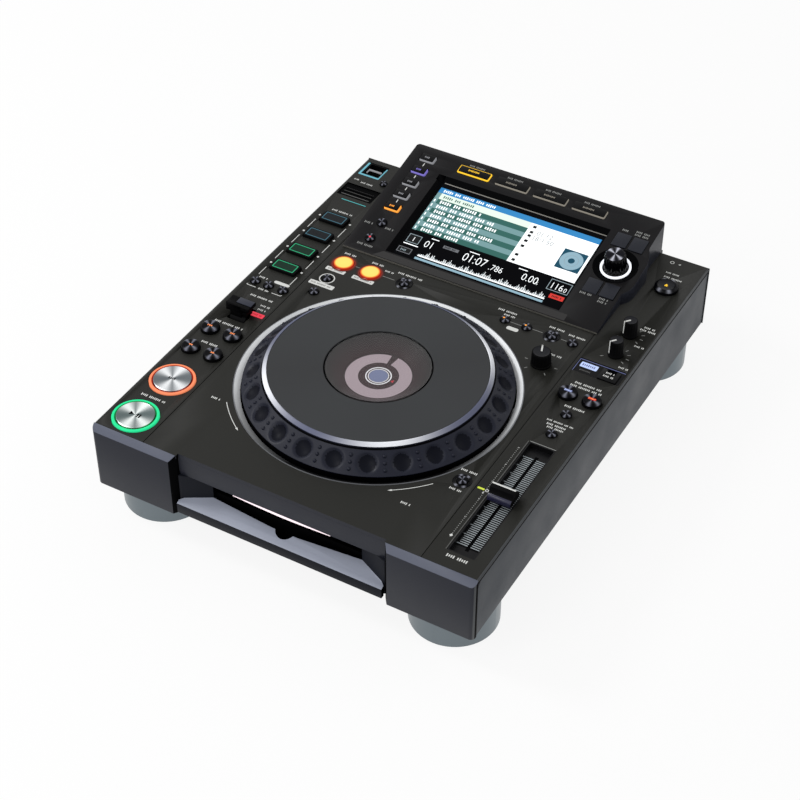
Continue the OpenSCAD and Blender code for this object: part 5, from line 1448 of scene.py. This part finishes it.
class PLAYER_OT_knobs(bpy.types.Operator):
    """Makes the direction lever, the knobs and the tempo fader"""
    bl_idname = "player.knobs"
    bl_label = "Lever, knobs and fader"
    bl_options = {"REGISTER", "UNDO"}

    lever_head = (
        (-5.5, 11), (-4.6, 11), (4.6, 11), (5.5, 12), (5.5, 17.3), (4.9, 18), (3.4, 17.9),
        (1.8, 17.5), (0, 17.35), (-1.8, 17.5), (-3.4, 17.9), (-4.9, 18), (-5.5, 17.3))
    fader_cap = (
        (-7, 0.6), (7, 0.6), (7, 4.4), (6.2, 5.6), (4.6, 6.4), (3.2, 8.0), (2.6, 10.0),
        (2.0, 10.6), (-1.8, 10.6), (-2.6, 10.0), (-3.1, 8.0), (-4.0, 6.2), (-4.8, 5.7),
        (-5.8, 5.4), (-6.6, 4.6), (-7, 3.2))
    # Sides of the cap's front that carry a painted sheen.
    fader_cap_sheen = (12, 13, 14, 15)

    def execute(self, context):
        for name, x, y, r, h, turn in (
                ("jog_adjust", 95, 24.5, 8, 12.5, 20), ("release_speed", 139.2, 89.5, 6, 15, 140),
                ("brake_speed", 139.7, 62.4, 6, 15, 140)):
            sk = Sketch(on_plate(x, y) @ Matrix.Rotation(math.radians(turn), 4, "Z"))
            self.knob(sk, r, h)
            sk.make_for(name + "_knob", name, "black_plastic")
        self.lever()
        self.fader()
        return {"FINISHED"}

    def knob(self, sk, r, h):
        """A fluted knob with a white pointer over its top and down its side."""
        steps = 72
        rows = [(0.3, r * 1.0, 0.0), (1.6, r * 1.0, 0.0), (1.9, r * 0.98, 1.0),
                (h * 0.8, r * 0.94, 1.0), (h - 0.8, r * 0.93, 0.8), (h - 0.2, r * 0.88, 0.3),
                (h, r * 0.8, 0.0)]
        sk.fluted(rows, 18, 0.28, lambda c: 0.5 + 0.5 * c, steps, "soft black")
        sk.turned([(r * 0.8, h), (r * 0.72, h - 0.25), (r * 0.6, h - 0.4), (0, h - 0.4)],
                  "knob top", steps)
        sk.slab(-0.6, 0.6, 0.3, r * 0.82, h - 0.42, h + 0.06, "white print")
        foot, top = ([(-0.6, r * y0), (0.6, r * y0), (0.6, r * y1), (-0.6, r * y1)]
                     for y0, y1 in ((0.8, 0.99), (0.76, 0.93)))
        sk.prism(foot, h * 0.25, h + 0.06, "white print", top)

    def lever(self):
        """A drum, a stem and a cap that is thinner at its right half."""
        axle = on_plate(*LEVER, -6)
        head = list(self.lever_head)
        sk = Sketch(axle @ Matrix.Rotation(math.pi / 2, 4, "Y"))
        sk.turned([(0, -7), (8.2, -7), (8.4, -6.7), (8.4, 6.7), (8.2, 7), (0, 7)], "soft black")
        sk.place = axle
        sk.drawn([(-4, 0), (4, 0), (4, 11.5), (-4, 11.5)], -7, 7)
        sk.drawn(head, -10.5, 3.2)
        sk.drawn([(-5.5, 14.4), (5.5, 14.4)] + head[4:], 3.2, 10.5)
        sk.drawn([(-5.2, 6.6), (5.2, 6.6), (5.2, 11.2), (-5.2, 11.2)], -7, 3.2)
        # A painted sheen over the rear of the cap's right half.
        sk.slab(-3.2, 10.3, -1.6, 4.9, 17.2, 18.04, "lever slate")
        sk.make_for("direction_lever", "lever", "black_plastic", 0.5)

    def fader(self):
        place = on_plate(*FADER)
        for k, turn in ((1, 0), (2, math.pi)):
            grown(f"fader_scale_{k}", ladder_tree(),
                  {"Count": 51, "Step": (0, 2, 0), "Tick": (6.9, 0.64, 0.12), "Long tick": 1.2,
                   "Every": 5},
                  place @ Matrix.Rotation(turn, 4, "Z") @ Matrix.Translation((1.2, -50, -3.85)),
                  "tick print", BODY)
        sk = Sketch(place)
        # A deep black sheet in the slit, as painted shade.
        sk.slab(-1.3, 1.3, -54, 54, -4.6, -4.35, "deep black")
        sk.make("fader_slit", BODY)
        sk = Sketch(place)
        sk.drawn(self.fader_cap, -9.2, 9.2, self.fader_cap_sheen)
        sk.slab(-9.22, 9.22, 0.6, 2.0, 10.55, 10.7, "white print")
        sk.slab(-1, 1, -3, 3, -12, 1, "black plastic")
        sk.make_for("tempo_fader_knob", "fader_cap", "black_plastic", 0.3)


class PLAYER_OT_ports(bpy.types.Operator):
    """Finishes the memory-stick port, the card door and the mode window"""
    bl_idname = "player.ports"
    bl_label = "Ports and mode window"
    bl_options = {"REGISTER", "UNDO"}

    def execute(self, context):
        paint_node("media_sockets", "soft black")
        sk = Sketch(on_plate(-145.75, 183.5))
        for x0, x1, y0, y1, low, high, name in (
                (-10, -8.3, -9.8, 9.0, -1.2, 0.12, "port light"),
                (-8.3, 10, -9.8, -8.0, -1.2, 0.12, "port light"),
                (9.0, 10, -8.0, 7.0, -1.2, 0.12, "port light"),
                # The inner left wall and the socket's tongue glow as painted light from the
                # port's lamp.
                (-8.3, -7.9, -7.9, 8.2, -5.8, -0.3, "teal light"),
                (-6.2, 6.4, 1.6, 3.0, -2.6, -1.6, "soft white light"),
                (-6.2, -5.2, -2.4, 1.6, -2.6, -1.8, "soft white light")):
            sk.slab(x0, x1, y0, y1, low, high, name)
        sk.make("port_frame", BODY, "lamp")
        sk = Sketch(on_plate(-140.25, 149))
        # The front two ridges are painted grey and dark grey as highlights along them; the third
        # is black.
        for y, tone in ((-6.3, "dim print"), (-1.8, "dark print"), (2.4, "black plastic")):
            sk.block(27, 0.8, 0.35, -0.8, -0.35, tone, y=y, crown=0.2)
        sk.make("door_ridges", "sd_door_body", "black_plastic")
        self.mode_window()
        return {"FINISHED"}

    def mode_window(self):
        """The recessed window with its lit plate, and the key at its right."""
        sk = Sketch(on_plate(137.5, 38.5))
        sk.plate(38.4, 16.4, 1.3, -0.98, -0.9, "gloss black", steps=4)
        sk.plate(14, 5.8, 0.8, -0.9, -0.7, "ice light", -9.5, 2.4, 4)
        sk.words(-9.5, 2.4, 11, 2.6, -0.7, -0.66, "blue light", (9,))
        sk.words(-9.5, -3.9, 11, 1.7, -0.9, -0.84, "dim print", (9,))
        # Painted highlight lines along the recess's left and top edges.
        sk.slab(-19.2, -18.8, -7.6, 7.6, -0.9, -0.5, "blue light")
        sk.slab(-18.8, 18.6, 7.5, 7.9, -0.9, -0.5, "blue light")
        sk.make("mode_window", BODY, "gloss_black")
        sk = Sketch(on_plate(146.4, 37.2))
        sk.block(15, 13.3, 1.0, KEY_FOOT, 0.6, "gloss black", crown=0.35)
        for y, width in ((2.2, 8), (-1.8, 9)):
            sk.words(0, y, width, 2.0, 0.6, 0.64, "white print")
        sk.make_for("jog_mode_button", "mode_key", "gloss_black")


class PLAYER_OT_console(bpy.types.Operator):
    """Makes the display housing's keys, marks, selector and its ring of light"""
    bl_idname = "player.console"
    bl_label = "Display housing"
    bl_options = {"REGISTER", "UNDO"}

    # Middle and width of the strokes round the side keys and round the selector.
    captions = ((-105.5, 30.5, 8), (-86, 30.5, 8), (-96, 7.5, 15), (92, 107, 7),
                (106, 109.2, 12), (106, 106, 12), (91.5, 33.0, 11), (107, 33.0, 9),
                (107, 29.8, 8))

    def execute(self, context):
        marks = Sketch(on_console())
        sk = Sketch()
        for v, light in ((115, "soft white"), (99.7, "violet"), (84.3, "soft white"),
                         (69, "soft white"), (53.7, "amber")):
            sk.place = on_console(-96, v)
            self.edge_lit(sk, 13.0, 8.0, light + " light")
            if v > 60:
                marks.slab(-96.4, -95.6, v - 9.4, v - 6.0, *PRINT, "white print")
        sk.make_for("source_buttons", "source_keys", "gloss_black")
        sk = Sketch()
        for x, light in ((-51.5, "yellow"), (-15.7, "beige"), (19.7, "beige"), (55.2, "beige")):
            sk.place = on_console(x, 115.5)
            self.edge_lit(sk, 29.5, 8.8, light + " light", light == "yellow")
            marks.words(x, 122.3, 16, 2.0, *PRINT, "grey print")
        sk.make_for("menu_buttons", "menu_keys", "gloss_black")
        sk = Sketch()
        for x, v in ((-95.5, 34.6), (-96, 15.8)):
            sk.place = on_console(x, v)
            small_key(sk, 4.2, 1.6, "spun black")
        sk.turned([(0, 1.5), (1.0, 1.5), (0.8, 1.65), (0, 1.7)], "red light", 16)
        sk.make_for("display_side_buttons", "display_side_keys", "black_plastic")
        for x, v, width in self.captions:
            marks.words(x, v, width, 2.2, *PRINT, "grey print")
        marks.make("housing_marks", BODY)
        self.browse_keys()
        self.selector()
        return {"FINISHED"}

    def edge_lit(self, sk, width, depth, light, whole=False):
        """A dark key on a lit base, which shows all round or only at its front and right."""
        narrower, shorter, x, y = (1.6, 1.8, 0, 0) if whole else (0.7, 1.0, -0.35, 0.5)
        sk.block(width, depth, 1.0, KEY_FOOT, 0.6, light, crown=0.3)
        sk.block(width - narrower, depth - shorter, 0.7, 0.4, 1.25, "gloss black", x, y, 0.3)
        sk.words(0 if whole else -0.5, 0.3, width * 0.42, 1.9, 1.25, 1.29, light, (9,))

    def browse_keys(self):
        """Four keys round the selector, each with a hollow side that follows its dish."""
        dish, start, far = 19.7, 19.35, 26.6 + 7.25
        near_x, far_x, parts = 1.0, 13.6, 8
        sk = Sketch(on_console(*SELECTOR))
        for x0, x1 in ((-far_x, -near_x), (near_x, far_x)):
            for side in (-1, 1):
                arc = [x0 + (x1 - x0) * i / parts for i in range(parts + 1)]
                outline = [(x, side * max(math.sqrt(max(dish * dish - x * x, 0)), start))
                           for x in arc] + [(x1, side * far), (x0, side * far)]
                if side < 0:
                    outline = outline[::-1]
                shrunk = [(x * 0.985 + (x0 + x1) / 2 * 0.015, v) for x, v in outline]
                sk.prism(outline, KEY_FOOT, 0.5, "browse slate")
                sk.prism(outline, 0.5, 0.8, "browse slate", shrunk)
        sk.make_for("browse_buttons", "browse_keys", "gloss_black", 0.25)

    def selector(self):
        steps = 120
        sk = Sketch(on_console(*SELECTOR))
        sk.turned([(10.7, -2.02), (12.6, -2.02), (12.6, -1.0), (12.3, -0.55), (11.2, -0.5),
                   (10.7, -1.2)], "white light", 96, closed=True)
        sk.make("selector_ring", BODY, "lamp")
        sk = Sketch(on_console(*SELECTOR))
        rows = [(-1.7, 10.0, 0), (-0.6, 10.0, 0), (-0.2, 9.6, 1), (11.5, 8.8, 1),
                (12.8, 8.2, 0.6), (13.7, 7.3, 0.0)]
        sk.fluted(rows, 20, 0.55, lambda c: max(0, c) ** 0.6, steps, "gloss black")
        # Its top carries a painted X of sheen.
        sk.turned([(7.3, 13.7), (6.2, 14.05), (3.0, 14.25), (0, 14.25)], "spun navy", steps)
        sk.make_for("rotary_selector", "selector", "gloss_black")


class PLAYER_OT_screen(bpy.types.Operator):
    """Draws the screen's plain picture: list, information panel, time, waveform"""
    bl_idname = "player.screen"
    bl_label = "Screen"
    bl_options = {"REGISTER", "UNDO"}

    def execute(self, context):
        self.sk = Sketch(on_console(0, 0, -GLASS_DEPTH))
        self.upper()
        self.lower()
        self.waveform()
        self.sk.make("screen_picture", BODY, "screen_glass")
        return {"FINISHED"}

    def spot(self, x, y):
        """Where a point that is seen on the housing's face lies on the sunken glass."""
        return x - 1.43, (y + 1.92 - CONSOLE_Y) / math.cos(TILT)

    def area(self, x0, x1, y0, y1, tone, high=0.03):
        a, v0 = self.spot(x0, y0)
        b, v1 = self.spot(x1, y1)
        self.sk.slab(a, b, v0, v1, high - 0.02, high, "screen " + tone)

    def strokes(self, x, width, y, height, tone):
        a, v = self.spot(x, y)
        self.sk.words(a + width / 2, v, width, height * 0.72, 0.05, 0.08, "screen " + tone,
                      (5, 3, 6, 4, 7))

    def figures(self, text, x, y, height, tone="white", squeeze=1.0):
        a, v = self.spot(x, y)
        self.sk.numerals(text, a, v, height / 0.7, 0.09, "screen " + tone, squeeze)

    def upper(self):
        """The title bar, the list and the information panel."""
        self.area(-69.5, 78.6, 160.3, 166, "blue")
        self.area(-65.7, 18, 153.8, 160.3, "pale", 0.04)
        self.area(-69.5, -65.7, 115.8, 160.3, "teal", 0.03)
        top, line = 153.8, 5.4
        for i, width in enumerate((40, 54, 60, 46, 62, 52, 38)):
            self.area(-65.7, 18, top - line, top, ("green", "teal")[i % 2], 0.04)
            self.strokes(-63, width, top - 2.7, 5.0, "white")
            self.strokes(-68.6, 2.4, top - 2.7, 4.0, "white")
            top -= line
        self.strokes(-63, 32, 157, 4.2, "green")
        self.strokes(-66, 50, 163.2, 4.2, "white")
        self.area(18, 78.6, 115.8, 160.3, "white", 0.03)
        for v in (157, 151, 147, 141, 135, 125, 119):
            self.area(21, 24, v - 1.3, v + 1.3, "ink", 0.06)
        self.figures("01:12", 27, 149.6, 4.6, "grey")
        self.figures("118/1:50", 22, 143.8, 4.6, "grey")
        self.area(55.5, 76.5, 125.5, 146.5, "deep blue", 0.06)
        for inner, outer, low, high, tone, steps in (
                (2.8, 9.7, 0.07, 0.12, "light blue", 48), (0, 1.2, 0.07, 0.12, "deep blue", 24),
                (5.6, 5.9, 0.12, 0.14, "mist", 48)):
            self.sk.washer(inner, outer, low, high, "screen " + tone, steps, *self.spot(66, 136))

    def lower(self):
        """The track number, the time and the tempo."""
        self.area(-68, -56.5, 102, 111, "mist", 0.03)
        self.area(-67.4, -57.1, 102.6, 110.4, "ink", 0.05)
        self.figures("1", -64, 104, 4.8)
        self.area(-68.5, -55, 99.6, 100.5, "white", 0.04)
        self.area(-70, -57.5, 90, 96, "grey", 0.03)
        self.area(-69.3, -58.2, 90.7, 95.3, "ink", 0.04)
        self.strokes(-67.5, 6, 93, 3.0, "mist")
        self.figures("01", -52, 102.2, 7.4, squeeze=0.84)
        self.area(-36, -22, 107.2, 110.2, "grey", 0.04)
        self.strokes(-35, 12, 108.7, 2.6, "ink")
        self.figures("01:07", -16.5, 102.0, 8.6, squeeze=0.8)
        self.figures(".786", 8.2, 101.6, 6.2, squeeze=0.82)
        self.figures("0.00", 37, 102.6, 7.4, squeeze=0.8)
        self.figures("%", 50.2, 102.4, 3.0, squeeze=0.8)
        for x0, x1, y0, y1 in ((60.2, 78.9, 113, 113.6), (60.2, 78.9, 102.2, 102.8),
                               (60.2, 60.8, 102.2, 113.6), (78.3, 78.9, 102.2, 113.6)):
            self.area(x0, x1, y0, y1, "mist", 0.04)
        self.figures("116", 61.8, 104.0, 6.8, squeeze=0.8)
        self.figures(".0", 73, 103.8, 4.6, squeeze=0.8)
        for x0, x1 in ((-49, -42), (-13.5, -4.5), (31, 39)):
            self.area(x0, x1, 112.2, 113, "white", 0.04)
        self.area(66, 78.5, 95, 99.6, "red", 0.04)
        self.strokes(68, 9, 97.3, 2.8, "ink")

    def waveform(self):
        """Bars on a base line, as high as a made-up beat."""
        self.area(-51, 64, 91.6, 92.8, "white", 0.04)
        self.area(-52, 64, 88.0, 90.2, "light blue", 0.04)
        for i in range(190):
            beat = abs(math.sin(i * 0.37) * math.cos(i * 0.113 + 1.3))
            height = 0.6 + 5.4 * beat * (0.45 + 0.55 * math.sin(i * 1.91) ** 2)
            x = -51 + i * 0.605
            self.area(x, x + 0.36, 92.6, 92.8 + height, "white" if i % 3 else "mist", 0.045)


class PLAYER_OT_rear(bpy.types.Operator):
    """Finishes the rear sockets and prints their marks"""
    bl_idname = "player.rear"
    bl_label = "Rear"
    bl_options = {"REGISTER", "UNDO"}

    def execute(self, context):
        sk = Sketch()
        # The red and amber rings glow though they are coloured plastic, as painted light.
        for x, z, tone in ((-10, 57, "white print"), (-10, 41, "dark red light"),
                           (14, 41, "amber light")):
            sk.place = facing_rear(x, z)
            sk.turned([(4.4, 0), (6.4, 0), (6.4, 1.0), (6.0, 1.4), (4.4, 1.4)], tone, 40,
                      closed=True)
        sk.place = facing_rear(36, 41)
        sk.turned([(3.8, 0), (6.2, 0), (6.2, 0.8), (5.6, 1.2), (3.8, 1.2)], "gloss black", 40,
                  closed=True)
        sk.make("socket_rings", BODY)
        marks = Sketch(facing_rear(0, 49))
        for x, y, width in ((2, -12, 26), (36, -12, 12), (66, -9.5, 14), (94, -9, 10),
                            (-78, -10.5, 12)):
            marks.words(x, y, width, 1.8, 0, 0.05, "grey print")
        marks.make("rear_marks", BODY)
        return {"FINISHED"}


OPERATORS = (
    PLAYER_OT_stage, PLAYER_OT_case, PLAYER_OT_marks, PLAYER_OT_wheel, PLAYER_OT_transport,
    PLAYER_OT_pads, PLAYER_OT_keys, PLAYER_OT_knobs, PLAYER_OT_ports, PLAYER_OT_console,
    PLAYER_OT_screen, PLAYER_OT_rear)


class PLAYER_PT_sidebar(bpy.types.Panel):
    """Lists the player's settings and the steps that dress it"""
    bl_idname = "PLAYER_PT_sidebar"
    bl_label = "Disc player"
    bl_space_type = "VIEW_3D"
    bl_region_type = "UI"
    bl_category = "Disc player"

    def draw(self, context):
        for name, settings in SETTINGS:
            box = self.layout.box()
            for item in settings.__annotations__:
                box.prop(getattr(context.scene, name), item)
        for operator in OPERATORS:
            self.layout.operator(operator.bl_idname)


SETTINGS = (
    ("player_case", PlayerCaseSettings), ("player_lamps", PlayerLampSettings),
    ("player_wheel", PlayerWheelSettings), ("player_stage", PlayerStageSettings))


def register():
    for name, group in SETTINGS:
        bpy.utils.register_class(group)
        setattr(bpy.types.Scene, name, PointerProperty(type=group))
    for item in (*OPERATORS, PLAYER_PT_sidebar):
        bpy.utils.register_class(item)


def unregister():
    for item in reversed((*OPERATORS, PLAYER_PT_sidebar)):
        bpy.utils.unregister_class(item)
    for name, group in reversed(SETTINGS):
        delattr(bpy.types.Scene, name)
        bpy.utils.unregister_class(group)


def main():
    register()
    for operator in OPERATORS:
        area, name = operator.bl_idname.split(".")
        getattr(getattr(bpy.ops, area), name)()


if __name__ == "__main__":
    main()
